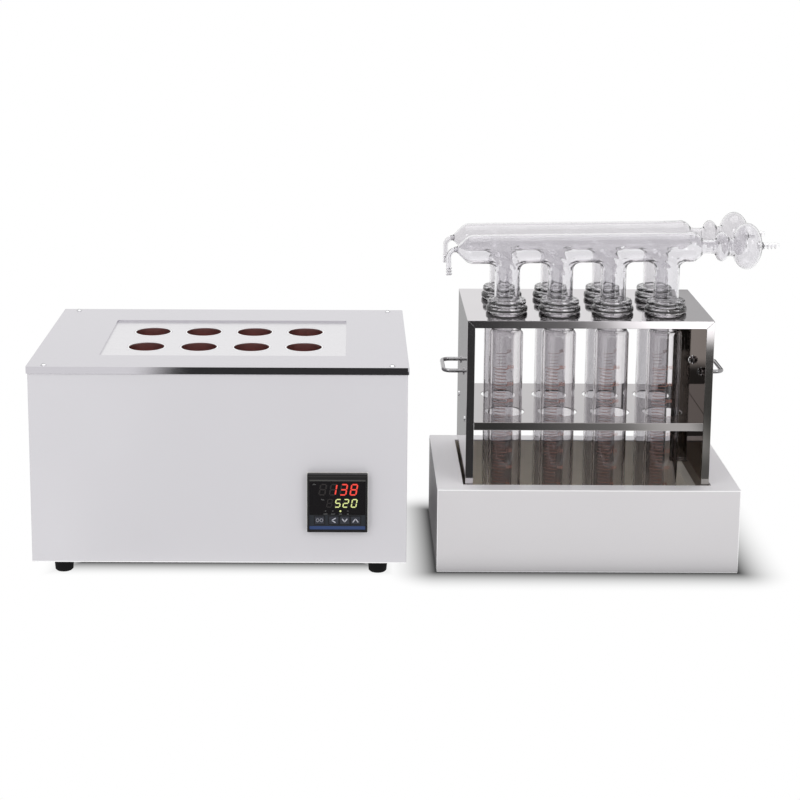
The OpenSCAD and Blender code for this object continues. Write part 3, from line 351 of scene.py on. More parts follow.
def vary(tree, shader, fac, base, change):
    low = colour([c * (1 - change) for c in base])
    high = colour([min(1.0, c * (1 + change)) for c in base])
    tree.links.new(mix_colours(tree, fac, low, high), shader.inputs["Base Color"])


def vary_roughness(tree, shader, fac, low, high):
    tree.links.new(spread(tree, fac, 0.0, 1.0, low, high), shader.inputs["Roughness"])


def bump(tree, shader, fac, strength, depth):
    node = add_node(tree, "ShaderNodeBump",
                    {"Height": fac, "Strength": strength, "Distance": depth})
    tree.links.new(node.outputs[0], shader.inputs["Normal"])


def paint(name, base):
    material, tree, shader = new_finish(name, base, 0.42, Coat_Weight=0.35, Coat_Roughness=0.16)
    cloud = grain(tree, 9, 2)
    vary(tree, shader, cloud, base, 0.02)
    vary_roughness(tree, shader, cloud, 0.36, 0.48)
    bump(tree, shader, grain(tree, 900, 2), 0.12, 0.0002)
    return material


def brushed(name, base, roughness, along=(1, 40, 40), scale=60, change=0.05, depth=0.15):
    material, tree, shader = new_finish(name, base, roughness, 1.0)
    lines = grain(tree, scale, 4, along)
    vary(tree, shader, lines, base, change)
    vary_roughness(tree, shader, lines, roughness * 0.75, roughness * 1.25)
    bump(tree, shader, lines, depth, 0.0001)
    return material


def polished(name, base, roughness, wave=0.35):
    material, tree, shader = new_finish(name, base, roughness, 1.0)
    smear = grain(tree, 14, 3)
    vary(tree, shader, smear, base, 0.04)
    vary_roughness(tree, shader, grain(tree, 120, 4), roughness * 0.7, roughness * 1.5)
    bump(tree, shader, grain(tree, 7, 1), wave, 0.0006)
    return material


def moulded(name, base, roughness, coat=0.0):
    material, tree, shader = new_finish(
        name, base, roughness, Coat_Weight=coat, Coat_Roughness=0.12)
    speck = grain(tree, 700, 3)
    vary(tree, shader, speck, base, 0.08)
    vary_roughness(tree, shader, speck, roughness * 0.85, roughness * 1.15)
    bump(tree, shader, speck, 0.15, 0.00015)
    return material


def painted_edge_highlights(material, name, sides):
    """A painted highlight: a thin light line on the front of a painted sheet, along the given edges.
    """
    tree, shader = parts_of(material)
    at, box, lines = place_in(tree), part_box(name), 0.0
    for axis, side in sides:
        line = math_node(tree, "COMPARE", at[axis], box[side][axis], EDGE_HIGHLIGHT)
        lines = math_node(tree, "MAXIMUM", line, lines)
    front = math_node(tree, "LESS_THAN", at[1], box[0].y + SKIN)
    recolour(tree, shader, times(tree, lines, front), (0.97, 0.96, 0.96))


# FLAT picks out one face, the middle number is the half width of the painted edge highlights, and
# SKIN is the depth of the front.
FLAT, EDGE_HIGHLIGHT, SKIN = 0.0003, 0.0011, 0.0008
cabinet_paint = paint("cabinet_paint", (0.66, 0.645, 0.67))
painted_edge_highlights(cabinet_paint, "cabinet_shell", ((2, 0),))
tray_paint = paint("tray_paint", (0.68, 0.66, 0.67))
tree, shader = parts_of(tray_paint)
at = place_in(tree)
# Painted shade and light: the tray's left side is made darker and its top face lighter.
for axis, side, tone in ((0, 0, (0.3, 0.29, 0.3)), (2, 1, (0.8, 0.78, 0.79))):
    face = math_node(tree, "COMPARE", at[axis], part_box("tray_shell")[side][axis], FLAT)
    recolour(tree, shader, face, tone)
painted_edge_highlights(tray_paint, "tray_shell", ((0, 0), (0, 1), (2, 0), (2, 1)))

cover_steel = brushed("cover_steel", (0.6, 0.585, 0.62), 0.2)
tree, shader = parts_of(cover_steel)
cover_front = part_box("top_cover")[0].y
dull = spread(tree, place_in(tree)[1], cover_front + 0.0002, cover_front + 0.0005, 0.04, 0.2)
tree.links.new(dull, shader.inputs["Roughness"])

# Painted dark reflections: the inner face of the rack's right panel is darkened in base colour and
# specular tint, and the lower front of its right flange in base colour.
rack_steel = polished("rack_steel", (0.6, 0.575, 0.59), 0.06)
rack_low, rack_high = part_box("rack_frame")
tree, shader = parts_of(rack_steel)
at = place_in(tree)
faces = add_node(tree, "ShaderNodeNewGeometry").outputs["Normal"]
faces = add_node(tree, "ShaderNodeSeparateXYZ", {0: faces}).outputs
right_strip, facing = 0.0098, -0.7
at_right = math_node(tree, "GREATER_THAN", at[0], rack_high.x - right_strip)
inside, fore = [times(tree, math_node(tree, "LESS_THAN", way, facing), at_right)
                for way in faces[:2]]
fore = times(tree, fore, ramp(tree, at[2], 0.235, 0.32, 1.0, 0.0))
recolour(tree, shader, inside, (0.2, 0.185, 0.175))
recolour(tree, shader, fore, (0.36, 0.345, 0.325))
painted_reflection_tint = mix_colours(tree, inside, colour((1, 1, 1)), colour((0.42, 0.385, 0.37)))
tree.links.new(painted_reflection_tint, shader.inputs["Specular Tint"])
shelf_steel = polished("shelf_steel", (0.42, 0.4, 0.405), 0.06)
tree, shader = parts_of(shelf_steel)
shelf_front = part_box("rack_shelf")[0].y
# Painted reflection: the shelf's front lip is made lighter than the rest of the shelf.
lip = math_node(tree, "COMPARE", place_in(tree)[1], shelf_front, FLAT)
recolour(tree, shader, lip, (0.66, 0.63, 0.62))
basin_steel = brushed("basin_steel", (0.96, 0.9, 0.8), 0.45, (40, 40, 1))
parts_of(basin_steel)[1].inputs["Metallic"].default_value = 0.2
foot_rubber = moulded("foot_rubber", (0.006, 0.006, 0.006), 0.8)
parts_of(foot_rubber)[1].inputs["Specular IOR Level"].default_value = 0.15
case_plastic = moulded("case_plastic", (0.014, 0.013, 0.014), 0.38)
key_plastic = moulded("key_plastic", (0.030, 0.033, 0.045), 0.45)
rocker_plastic = moulded("rocker_plastic", (0.5, 0.02, 0.015), 0.25, 0.5)
print("finishes:", len(bpy.data.materials))

# %% [markdown]
# ## Well liners
#
# Heat turns the inside of a steel well brown, and redder where it is hottest, while the lip at the
# top stays untinted; its near-white tone is also a painted highlight along the rim. One liner
# material can do both, because Object coordinates give the height: a Map Range turns the height into
# the share of brown.

# %% Heat-tinted liner
well_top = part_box("well_plate")[1].z
well_liner, tree, shader = new_finish("well_liner", (0.3, 0.12, 0.08), 0.34, 1.0)
height = place_in(tree)["Z"]
heat_depth, lip_low, lip_high = 0.05, 0.0012, 0.0004
heat = spread(tree, height, well_top - heat_depth, well_top, 0.0, 1.0)
at_lip = spread(tree, height, well_top - lip_low, well_top - lip_high, 0.0, 1.0)
tints = mix_colours(tree, heat, colour((0.8, 0.3, 0.28)), colour((0.42, 0.24, 0.23)))
# The near-white lip is partly the untinted steel and partly a painted highlight along the rim.
lip = mix_colours(tree, at_lip, tints, colour((0.95, 0.95, 0.96)))
tree.links.new(lip, shader.inputs["Base Color"])
bump(tree, shader, grain(tree, 80, 3, (1, 1, 8)), 0.2, 0.0002)
print("well lip at", round(well_top, 4))

# %% [markdown]
# ## Giving the solids their finish
#
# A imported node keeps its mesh, and only its material slots change. Sheet metal and mouldings never
# have knife edges, and a narrow bevel catches a line of light, as the bright lower edges in the
# picture do. The nodes are loose triangles, so a Weld modifier joins them before the Bevel.

# %% Assign finishes and bevels
def dress(names, material, bevel=None):
    for solid in (nodes[name] for name in names.split()):
        solid.data.materials.clear()
        solid.data.materials.append(material)
        if bevel:
            weld = solid.modifiers.new("weld", "WELD")
            weld.merge_threshold = 0.00001
            edge = solid.modifiers.new("edge", "BEVEL")
            edge.width = bevel * MM
            edge.segments = 2
            edge.limit_method = "ANGLE"
            edge.angle_limit = math.radians(50)
            edge.harden_normals = False


key_names = ["set_key", "shift_key", "down_key", "up_key"]
dress("cabinet_shell", cabinet_paint, 0.5)
dress("tray_shell", tray_paint, 0.6)
dress("top_cover", cover_steel, 0.4)
dress("rack_frame", rack_steel, 0.3)
dress("rack_shelf", shelf_steel, 0.3)
dress("controller_bezel", case_plastic, 0.3)
dress(" ".join(key_names), key_plastic, 0.4)
dress("power_rocker", rocker_plastic, 0.4)
for names, material in (
        ("tray_basin", basin_steel), ("well_sleeves", well_liner), ("rubber_feet", foot_rubber),
        ("controller_case controller_clamp mains_inlet rocker_housing", case_plastic)):
    dress(names, material)
# Plain finishes: the name, the kind, its colour and other values, and the nodes that wear it.
for label, kind, look, names in (
        ("plate_steel", brushed, ((0.74, 0.73, 0.75), 0.26), "well_plate"),
        ("zinc", brushed, ((0.7, 0.7, 0.72), 0.35, (1, 1, 1), 30, 0.12),
         "bottom_plate inner_box box_pillars overheat_cutout temperature_probe cartridge_heaters"),
        ("bright_metal", polished, ((0.6, 0.6, 0.61), 0.07, 0.1),
         "cover_screws plate_screws foot_screws handle_nuts shelf_rivets"),
        # The handles' steel is darker than the other bright metal: painted shade.
        ("handle_steel", polished, ((0.3, 0.295, 0.3), 0.05, 0.1), "left_handle right_handle"),
        ("ivory_plastic", moulded, ((0.75, 0.73, 0.66), 0.4), "solid_state_relay terminal_block"),
        ("gasket_rubber", moulded, ((0.82, 0.81, 0.78), 0.6), "controller_gasket"),
        ("window_plastic", moulded, ((0.010, 0.009, 0.010), 0.12, 0.6), "display_window"),
        ("wire_plastic", moulded, ((0.55, 0.04, 0.03), 0.4), "wiring_loom"),
        ("fibre_board", moulded, ((0.85, 0.83, 0.78), 0.9), "insulation_jacket"),
        ("block_metal", brushed, ((0.72, 0.73, 0.75), 0.4, (1, 1, 30), 50),
         "heating_block relay_heat_sink"),
        ("stud_brass", brushed, ((0.75, 0.55, 0.22), 0.3, (1, 1, 1), 40), "earth_stud")):
    dress(names, kind(label, *look))
print("nodes with a bevel:", sum("edge" in node.modifiers for node in nodes.values()))

# %% [markdown]
# ## Geometry Nodes: one tree for turned glass
#
# Tubes, barbs and rims are turned shapes: an outline swept round an axis. A small tree does this
# with Curve to Mesh, and a row of equal tubes comes from instances on a line. The outline is a flat
# curve whose x is the radius and whose y is the height. The tree ends in Realize Instances and Set
# Material.

# %% Helpers for Geometry Nodes
def tree_with(name, **sockets):
    """A tree with these inputs, each given as label and kind. A_B stands for the label A B."""
    tree = bpy.data.node_groups.new(name, "GeometryNodeTree")
    for label, kind in sockets.items():
        tree.interface.new_socket(label.replace("_", " "), in_out="INPUT",
                                  socket_type="NodeSocket" + kind)
    tree.interface.new_socket("Geometry", in_out="OUTPUT", socket_type="NodeSocketGeometry")
    return tree, tree.nodes.new("NodeGroupInput").outputs


def geo(tree, kind, **inputs):
    """Add a node of Geometry Nodes and give its first output. A_B stands for the socket A B."""
    sockets = {label.replace("_", " "): value for label, value in inputs.items()}
    return add_node(tree, "GeometryNode" + kind, sockets).outputs[0]


def shape_of(tree, source):
    return add_node(tree, "GeometryNodeObjectInfo", {"Object": source}).outputs["Geometry"]


def vector(tree, **axes):
    return add_node(tree, "ShaderNodeCombineXYZ", axes).outputs[0]


def joined(tree, *shapes):
    whole = add_node(tree, "GeometryNodeJoinGeometry")
    for shape in shapes:
        tree.links.new(shape, whole.inputs[0])
    return whole.outputs[0]


def end_tree(tree, geometry, material):
    real = geo(tree, "RealizeInstances", Geometry=geometry)
    painted = geo(tree, "SetMaterial", Geometry=real, Material=material)
    smooth = add_node(tree, "GeometryNodeSetShadeSmooth", {0: painted}).outputs[0]
    add_node(tree, "NodeGroupOutput", {0: smooth})


def run_tree(name, tree, **values):
    host = linked(name + "_host", bpy.data.meshes.new(name + "_host"))
    modifier = host.modifiers.new("tree", "NODES")
    modifier.node_group = tree
    for item in tree.interface.items_tree:
        label = item.name.lower().replace(" ", "_")
        if item.in_out == "INPUT" and label in values:
            modifier[item.identifier] = values[label]
    mesh = baked(host)
    mesh.name = name
    return mesh


def outline(name, points, closed=True):
    curve = bpy.data.curves.new(name, "CURVE")
    curve.dimensions = "3D"
    line = curve.splines.new("POLY")
    line.points.add(len(points) - 1)
    for target, point in zip(line.points, points):
        target.co = (point[0], point[1], point[2] if len(point) > 2 else 0, 1)
    line.use_cyclic_u = closed
    return linked(name, curve)


def arc(middle, radius, start, stop, steps):
    return [(middle[0] + radius * math.cos(math.radians(start + (stop - start) * i / steps)),
             middle[1] + radius * math.sin(math.radians(start + (stop - start) * i / steps)))
            for i in range(steps + 1)]


def tidy_mesh(mesh):
    work = bmesh.new()
    work.from_mesh(mesh)
    bmesh.ops.remove_doubles(work, verts=work.verts, dist=0.000004)
    bmesh.ops.dissolve_degenerate(work, edges=work.edges, dist=0.000001)
    bmesh.ops.recalc_face_normals(work, faces=work.faces)
    return finished(work, mesh)


def new_piece(name, mesh, body, *stands_for, slot=None):
    piece = linked(name, mesh)
    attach(piece, body)
    if stands_for:
        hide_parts(*stands_for)
    print(name, "triangles", sum(len(p.vertices) - 2 for p in mesh.polygons))
    return piece


print("quarter of a circle:", [tuple(round(v, 2) for v in p) for p in arc((0, 0), 1, 0, 90, 2)])

# %% The tree for a row of turned shapes
turned, given = tree_with("turned_row", Outline="Object", Segments="Int", Count="Int",
                          Start="Vector", Step="Vector", Turn="Vector", Material="Material")
ring = geo(turned, "CurvePrimitiveCircle", Resolution=given["Segments"], Radius=0.000001)
swept = geo(turned, "CurveToMesh", Curve=ring, Profile_Curve=shape_of(turned, given["Outline"]))
merged = geo(turned, "MergeByDistance", Geometry=swept, Distance=0.000005)
places = geo(turned, "MeshLine", Count=given["Count"], Start_Location=given["Start"],
             Offset=given["Step"])
copies = geo(turned, "InstanceOnPoints", Points=places, Instance=merged, Rotation=given["Turn"])
end_tree(turned, copies, given["Material"])


def turned_mesh(name, points, material, segments, count=1, start=(0, 0, 0), step=(0, 0, 0),
                turn=(0, 0, 0)):
    """Turn an outline of (radius, height) points in mm, and set copies of it in a row."""
    shape = outline(name + "_outline", [(r * MM, -z * MM) for r, z in points])
    mesh = run_tree(name, turned, outline=shape, segments=segments, count=count, start=start,
                    step=step, turn=turn, material=material)
    bpy.data.objects.remove(shape)
    return mesh


print("tree", turned.name, "nodes", len(turned.nodes))

# %% [markdown]
# ## Glass
#
# Laboratory glass is clear, but two or more walls behind each other dim the white background to a
# cool grey, and the edges, where a line of sight runs through much glass, turn dark. The walls are
# real here, with an inner and an outer surface, so the shader refracts as the real wall does. Light
# passes clear glass almost straight, so shadows and soft light see a nearly clear surface.

# %% Glass finish
def glass(name, tint):
    material, tree, shader = new_finish(name, tint, 0.0, Transmission_Weight=1.0, IOR=1.474)
    haze = grain(tree, 40, 2)
    vary(tree, shader, haze, tint, 0.012)
    vary_roughness(tree, shader, haze, 0.0, 0.004)
    bump(tree, shader, grain(tree, 45, 1), 0.04, 0.0003)
    path = add_node(tree, "ShaderNodeLightPath")
    seers = [path.outputs[label] for label in ("Is Shadow Ray", "Is Diffuse Ray")]
    clear = add_node(tree, "ShaderNodeBsdfTransparent", {"Color": colour((0.95, 0.95, 0.96))})
    mixed = add_node(tree, "ShaderNodeMixShader", {
        0: math_node(tree, "MAXIMUM", *seers), 1: shader.outputs[0], 2: clear.outputs[0]})
    output = tree.nodes["Material Output"]
    tree.links.new(mixed.outputs[0], output.inputs["Surface"])
    return material


front_glass = glass("front_glass", (0.875, 0.862, 0.872))
# The rear tubes and the rear manifold get a darker tint than the front ones: painted shade on the
# same glass.
rear_glass = glass("rear_glass", (0.73, 0.72, 0.735))
manifold_glass = glass("manifold_glass", (0.875, 0.868, 0.885))
far_glass = glass("far_glass", (0.825, 0.815, 0.83))
print("glass ready")

# %% [markdown]
# ## Digestion tubes
#
# Each tube has a round bottom, a straight body, a short rounded shoulder and a thick ground rim.
# The outline goes up the outside and back down the inside, so the turned shape is a closed wall.

# %% Eight tubes in two rows
column_pitch, row_pitch = 65.0, 81.0
tray_low, tray_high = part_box("tray_shell")
tray_middle = (tray_low + tray_high) / 2
rows = {"front": tray_middle.y - row_pitch * MM / 2, "rear": tray_middle.y + row_pitch * MM / 2}
first_x, next_tube = tray_middle.x - 1.5 * column_pitch * MM, (column_pitch * MM, 0, 0)
tube_low, tube_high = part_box("tube_front_1")
tube_length = (tube_high.z - tube_low.z) / MM
body_r, neck_r, wall, rim_r, rim_h, neck_h = 21.0, 16.5, 1.8, 25.5, 8.0, 22.0
shoulder = tube_length - rim_h - neck_h
tube_points = (
    arc((0, body_r), body_r, -90, 0, 22) + [(body_r, z) for z in np.linspace(40, shoulder - 8, 12)]
    + arc((body_r - 6, shoulder - 6), 6.0, 0, 80, 10)
    + arc((neck_r + 2.0, shoulder + 2.2), 2.0, 265, 180, 6)
    + arc((neck_r + 2.0, tube_length - rim_h - 1.5), 2.0, 180, 90, 5)
    + arc((rim_r - 2.6, tube_length - rim_h + 2.6), 2.6, -90, 0, 8)
    + arc((rim_r - 3.0, tube_length - 3.0), 3.0, 0, 90, 8)
    + arc((neck_r - wall + 1.2, tube_length - 1.2), 1.2, 90, 180, 5)
    + arc((neck_r - wall + 1.6, shoulder + 1.6), 1.6, 180, 250, 5)
    + arc((body_r - 6, shoulder - 6), 6.0 - wall, 75, 0, 9)
    + [(body_r - wall, z) for z in np.linspace(shoulder - 8, 40, 12)]
    + arc((0, body_r), body_r - wall, 0, -90, 22))
for row, tint in (("front", front_glass), ("rear", rear_glass)):
    mesh = turned_mesh(row + "_tubes", tube_points, tint, 72, 4,
                       (first_x, rows[row], tube_low.z), next_tube)
    new_piece(row + "_tubes", tidy_mesh(mesh), row + "_row",
              *[f"tube_{row}_{i}" for i in (1, 2, 3, 4)], slot="clear_glass")
print("tube length", round(tube_length, 1), "mm")

# %% [markdown]
# ## Dark bands in the joints
#
# Where a manifold's flange meets a tube's rim, the thick glass shows black lines between bright
# ones.
# Thin dark rings set inside the glass paint those black lines, a painted dark reflection, and the
# glass round them adds the bright ones. They are the turned tree again, with a small circle as
# its outline.

# %% Dark rings inside the rims, a painted dark reflection
seal_dark = moulded("seal_dark", (0.012, 0.011, 0.01), 0.3)
joint_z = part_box("front_manifold")[0].z
for row, y in rows.items():
    for kind, body, radius, half, up in (("flange", "_glass", 21.6, 0.75, 3.6),
                                         ("rim", "_row", 22.6, 1.3, -4.6)):
        name = row + "_" + kind + "_seals"
        mesh = turned_mesh(name, arc((radius, 0), half, 0, 360, 12)[:-1], seal_dark, 72, 4,
                           (first_x, y, joint_z + up * MM), next_tube)
        new_piece(name, tidy_mesh(mesh), row + body)
print("rings lie round", round(joint_z, 4), "m")

# %% [markdown]
# ## Graduations
#
# A digestion tube carries short fired marks in red-brown, with a number at every fifth one. The
# marks are thin strips bent round the glass. One strip goes on every point of an upright line, then
# the whole print goes on each tube, turned a little differently, as tubes put in by hand are.

# %% Marks and numbers
print_stain = moulded("print_stain", (0.32, 0.15, 0.12), 0.5)
glowing_print_shader = parts_of(print_stain)[1]
# The print itself is real; its faint emission is painted light that lifts the marks where the tubes
# are in shade.
glowing_print_shader.inputs["Emission Color"].default_value = colour((0.5, 0.2, 0.15))
glowing_print_shader.inputs["Emission Strength"].default_value = 0.08
mark_pitch, first_mark, mark_count, marks_per_number = 4.24, 240.0, 45, 5
print_r = body_r + 0.06


def bend(a, r, z):
    """A point at the way a round the tube, the radius r and the height z, all in mm."""
    return (r * MM * math.sin(a / print_r), -r * MM * math.cos(a / print_r), z * MM)


def strip(start, stop, thick, steps, name):
    points, faces = [], []
    for i in range(steps + 1):
        a = start + (stop - start) * i / steps
        points += [bend(a, print_r - 0.03 + r, z)
                   for r, z in ((0, 0), (0.08, 0), (0.08, thick), (0, thick))]
    for i in range(steps):
        for k in range(4):
            m = (k + 1) % 4
            faces.append((i * 4 + k, i * 4 + m, i * 4 + 4 + m, i * 4 + 4 + k))
    faces += [(3, 2, 1, 0), tuple(steps * 4 + k for k in range(4))]
    return linked(name, mesh_of(name, points, faces))


def number_column(shift):
    """Nine numbers, from 250 at the top down to 50, to the right of the marks."""
    work = bmesh.new()
    for i in range(9):
        letters = bpy.data.curves.new("number", "FONT")
        letters.body, letters.size, letters.extrude = str(250 - 25 * i), 5.6, 0.04
        letters.resolution_u = 2
        flat = baked(linked("number", letters))
        for vertex in flat.vertices:
            a, up, out = vertex.co
            height = first_mark - i * marks_per_number * mark_pitch + up + 0.9
            vertex.co = bend(a - 3.4 + shift, print_r + 0.01 + out, height)
        work.from_mesh(flat)
    return linked("numbers", finished(work, "numbers"))


marks, given = tree_with(
    "tube_print", Short_Mark="Object", Long_Mark="Object", Numbers="Object", Marks="Int",
    Mark_Pitch="Float", First_Mark="Float", Row_Start="Vector", Column_Pitch="Float",
    Turn="Float", Seed="Int", Material="Material")
ladder = geo(marks, "MeshLine", Count=given["Marks"],
             Start_Location=vector(marks, Z=given["First Mark"]),
             Offset=vector(marks, Z=times(marks, given["Mark Pitch"], -1.0)))
fifth = math_node(marks, "MODULO", geo(marks, "InputIndex"), 5.0)
parts = []
for label, operation in (("Short Mark", "GREATER_THAN"), ("Long Mark", "LESS_THAN")):
    chosen = add_node(marks, "FunctionNodeCompare", {0: fifth, 1: 0.5}, operation=operation)
    parts.append(geo(marks, "InstanceOnPoints", Points=ladder, Selection=chosen.outputs[0],
                     Instance=shape_of(marks, given[label])))
whole = joined(marks, *parts, shape_of(marks, given["Numbers"]))
columns = geo(marks, "MeshLine", Count=4, Start_Location=given["Row Start"],
              Offset=vector(marks, X=given["Column Pitch"]))
chance = add_node(marks, "FunctionNodeRandomValue", {
    2: times(marks, given["Turn"], -1.0), 3: given["Turn"], "Seed": given["Seed"]}).outputs[1]
printed = geo(marks, "InstanceOnPoints", Points=columns, Instance=whole,
              Rotation=vector(marks, Z=chance))
end_tree(marks, printed, given["Material"])

for row, seed, shift in (("front", 3, 0.0), ("rear", 8, 13.0)):
    helpers = [strip(shift - 20.0, shift - 4.6, 0.42, 10, "short_mark"),
               strip(shift - 22.0, shift - 2.6, 0.48, 12, "long_mark"), number_column(shift)]
    mesh = run_tree(row + "_graduations", marks, short_mark=helpers[0], long_mark=helpers[1],
                    numbers=helpers[2], marks=mark_count, mark_pitch=mark_pitch * MM,
                    first_mark=first_mark * MM, turn=0.22, seed=seed, material=print_stain,
                    row_start=(first_x, rows[row], 0), column_pitch=column_pitch * MM)
    new_piece(row + "_graduations", mesh, row + "_row")
    for helper in helpers:
        bpy.data.objects.remove(helper)
print("marks on each tube:", mark_count)

# %% [markdown]
# ## Manifolds
#
# A blown manifold has no hard joints: where a drop meets the pipe, the glass flows in a soft
# fillet, and the wall is a little uneven there. A boolean union would leave sharp seams, so the
# shape is written as a distance field, in which a smooth minimum gives the fillets, and a surface
# net turns the field into a mesh. Every vertex is then moved onto the exact surface. The outside
# and the inside are made from one field with two wall offsets, and stitched together round each
# open mouth.

# %% The field of the glass
slope = math.tan(math.radians(0.9))
pipe_axis_z = 387.6
mouth = joint_z / MM - pipe_axis_z
drop_columns = [(i - 1.5) * column_pitch for i in range(4)]
glass_wall, pipe_r, drop_r, mouth_blend = 1.7, 18.0, 15.5, 10.0
pipe_left, pipe_right, cone_slope = -163.0, 129.0, 1.41
collar_r, collar_half, collar_round = 23.5, 4.0, 3.0
# What follows the pipe at its right: form, middle, half length, how much of the wall comes off
# that half inside, radius, and the reach of the fillet to what came before.
blown = (("bulb", 127.0, 14.5, 1.0, pipe_r, 2.0), ("neck", 148.0, 14.0, 0.0, 8.5, 4.0),
         ("bulb", 163.5, 9.6, 0.8, 18.2, 3.0), ("neck", 177.0, 8.0, 0.0, 10.0, 4.0),
         ("bulb", 194.0, 18.0, 1.0, 28.3, 3.0))


def smooth_least(a, b, reach):
    blend = np.clip(0.5 + 0.5 * (b - a) / reach, 0, 1)
    return b + (a - b) * blend - reach * blend * (1 - blend)


def egg(x, r, middle, half, radius):
    near = np.sqrt(((x - middle) / half) ** 2 + (r / radius) ** 2) + 1e-9
    steep = np.sqrt(((x - middle) / half ** 2) ** 2 + (r / radius ** 2) ** 2) + 1e-9
    return near * (near - 1) / steep


def glass_field(x, y, z, inset):
    """Distance to the glass in mm, below 0 inside; inset moves the surface inward by the wall."""
    r = np.hypot(y, z - slope * x)
    cone = np.maximum(3.4 + (x + 160.0) - cone_slope * inset, 3.3 - inset)
    radius = smooth_least(cone, np.full_like(x, pipe_r - inset), 5.0)
    field = (r - radius) / np.where(x < -143.0, cone_slope, 1.0)
    field = np.maximum(np.maximum(field, x - pipe_right), pipe_left + inset - x)
    for form, middle, half, share, form_r, reach in blown:
        if form == "bulb":
            solid = egg(x, r, middle, half - share * inset, form_r - inset)
        else:
            solid = np.maximum(r - (form_r - inset), np.abs(x - middle) - half)
        field = smooth_least(field, solid, reach)
    if inset == 0:
        nipple = np.maximum(r - 4.4, np.abs(x - 209.0) - 5.5)
        field = smooth_least(field, nipple, 3.0)
    for middle in drop_columns:
        across = np.sqrt((x - middle) ** 2 + y * y)
        drop = np.maximum(across - (drop_r - inset), z)
        if inset == 0:
            drop = np.maximum(drop, mouth - z)
        ripple = np.exp(-((across - 14) / 9) ** 2) * np.exp(-((z + 17) / 17) ** 2)
        wave = (np.sin(x * 0.83 + z * 0.31 + middle) + np.sin(y * 0.9 - z * 0.47 + 2)
                + np.sin((x + y) * 0.5 + z * 0.7))
        field = smooth_least(field, drop, mouth_blend)
        field = field + (0.05 if inset == 0 else 0.16) * ripple * wave
        if inset == 0:
            out = across - (collar_r - collar_round)
            up = np.abs(z - mouth - collar_half) - (collar_half - collar_round)
            collar = (np.hypot(np.maximum(out, 0), np.maximum(up, 0))
                      + np.minimum(np.maximum(out, up), 0) - collar_round)
            field = smooth_least(field, collar, 1.5)
    return field


probe = [np.array([float(v)]) for v in (0, 0, 0)]
print("inside the pipe:", glass_field(*probe, 0) < 0, "mouths at", round(mouth, 1), "mm")


# %% From field to mesh
def surface_net(inset, step, low, high):
    axes = [np.arange(a, b + step, step) for a, b in zip(low, high)]
    values = glass_field(*np.meshgrid(*axes, indexing="ij"), inset)
    inside = values < 0
    nx, ny, nz = (n - 1 for n in values.shape)
    total = np.zeros((nx, ny, nz, 3))
    count = np.zeros((nx, ny, nz))
    corners = [(i, j, k) for i in (0, 1) for j in (0, 1) for k in (0, 1)]
    for a in corners:
        for axis in range(3):
            if a[axis] == 1:
                continue
            b = tuple(v + (n == axis) for n, v in enumerate(a))
            va = values[a[0]:a[0] + nx, a[1]:a[1] + ny, a[2]:a[2] + nz]
            vb = values[b[0]:b[0] + nx, b[1]:b[1] + ny, b[2]:b[2] + nz]
            cross = (va < 0) != (vb < 0)
            share = np.where(cross, va / np.where(va == vb, 1, va - vb), 0)
            for n in range(3):
                total[..., n] += np.where(cross, a[n] + (share if n == axis else 0), 0)
            count += cross
    used = count > 0
    cells = np.argwhere(used)
    number = np.full(used.shape, -1)
    number[used] = np.arange(len(cells))
    points = (cells + total[used] / count[used][:, None]) * step + np.array([a[0] for a in axes])
    faces = []
    for axis in range(3):
        u, v = (axis + 1) % 3, (axis + 2) % 3
        first = [slice(1, n) for n in (nx, ny, nz)]
        first[axis] = slice(0, (nx, ny, nz)[axis])
        second = list(first)
        second[axis] = slice(1, (nx, ny, nz)[axis] + 1)
        here, there = inside[tuple(first)], inside[tuple(second)]
        for flips, order in ((here & ~there, 1), (~here & there, -1)):
            at = np.argwhere(flips) + [1 if n != axis else 0 for n in range(3)]
            quad = []
            for du, dv in ((-1, -1), (0, -1), (0, 0), (-1, 0)):
                cell = at.copy()
                cell[:, u] += du
                cell[:, v] += dv
                quad.append(number[cell[:, 0], cell[:, 1], cell[:, 2]])
            faces.append(np.stack(quad[::order], 1))
    points = settle(points, inset)
    return points, np.concatenate(faces)


def settle(points, inset, rounds=4):
    small = 0.02
    for _ in range(rounds):
        value = glass_field(*points.T, inset)
        slope_of = np.stack([
            (glass_field(*(points + small * unit).T, inset)
             - glass_field(*(points - small * unit).T, inset)) / (2 * small)
            for unit in np.eye(3)], 1)
        steep = (slope_of ** 2).sum(1) + 1e-6
        move = np.clip(value / steep, -0.8, 0.8)
        points = points - move[:, None] * slope_of
    return points


test_net = surface_net(0.0, 4.0, (-40, -24, -24), (40, 24, 24))
print("coarse test net:", len(test_net[0]), "points and", len(test_net[1]), "faces")

# %% Open the mouths and stitch the walls
def open_mouths(points, faces, cut):
    near = np.zeros(len(points), bool)
    for middle in drop_columns:
        across = np.hypot(points[:, 0] - middle, points[:, 1])
        near |= cut(across, points[:, 2])
    kept = faces[~near[faces].any(1)]
    edges = np.concatenate([kept[:, [i, (i + 1) % 4]] for i in range(4)])
    paired = set(map(tuple, edges))
    rim = [e for e in paired if (e[1], e[0]) not in paired]
    return kept, np.unique(np.array(rim))


def stitch(outer, inner, points):
    """Triangles between two rings of points round one axis, matched by their angle."""
    faces, a, b = [], 0, 0
    turn = [np.arctan2(points[r][:, 1], points[r][:, 0] - points[r][:, 0].mean())
            for r in (outer, inner)]
    outer, inner = outer[np.argsort(turn[0])], inner[np.argsort(turn[1])]
    ta, tb = np.sort(turn[0]), np.sort(turn[1])
    while a < len(outer) or b < len(inner):
        next_a = ta[a] if a < len(ta) else 9
        next_b = tb[b] if b < len(tb) else 9
        if next_a <= next_b:
            faces.append((outer[a % len(outer)], outer[(a + 1) % len(outer)],
                          inner[b % len(inner)]))
            a += 1
        else:
            faces.append((outer[a % len(outer)], inner[(b + 1) % len(inner)],
                          inner[b % len(inner)]))
            b += 1
    return faces


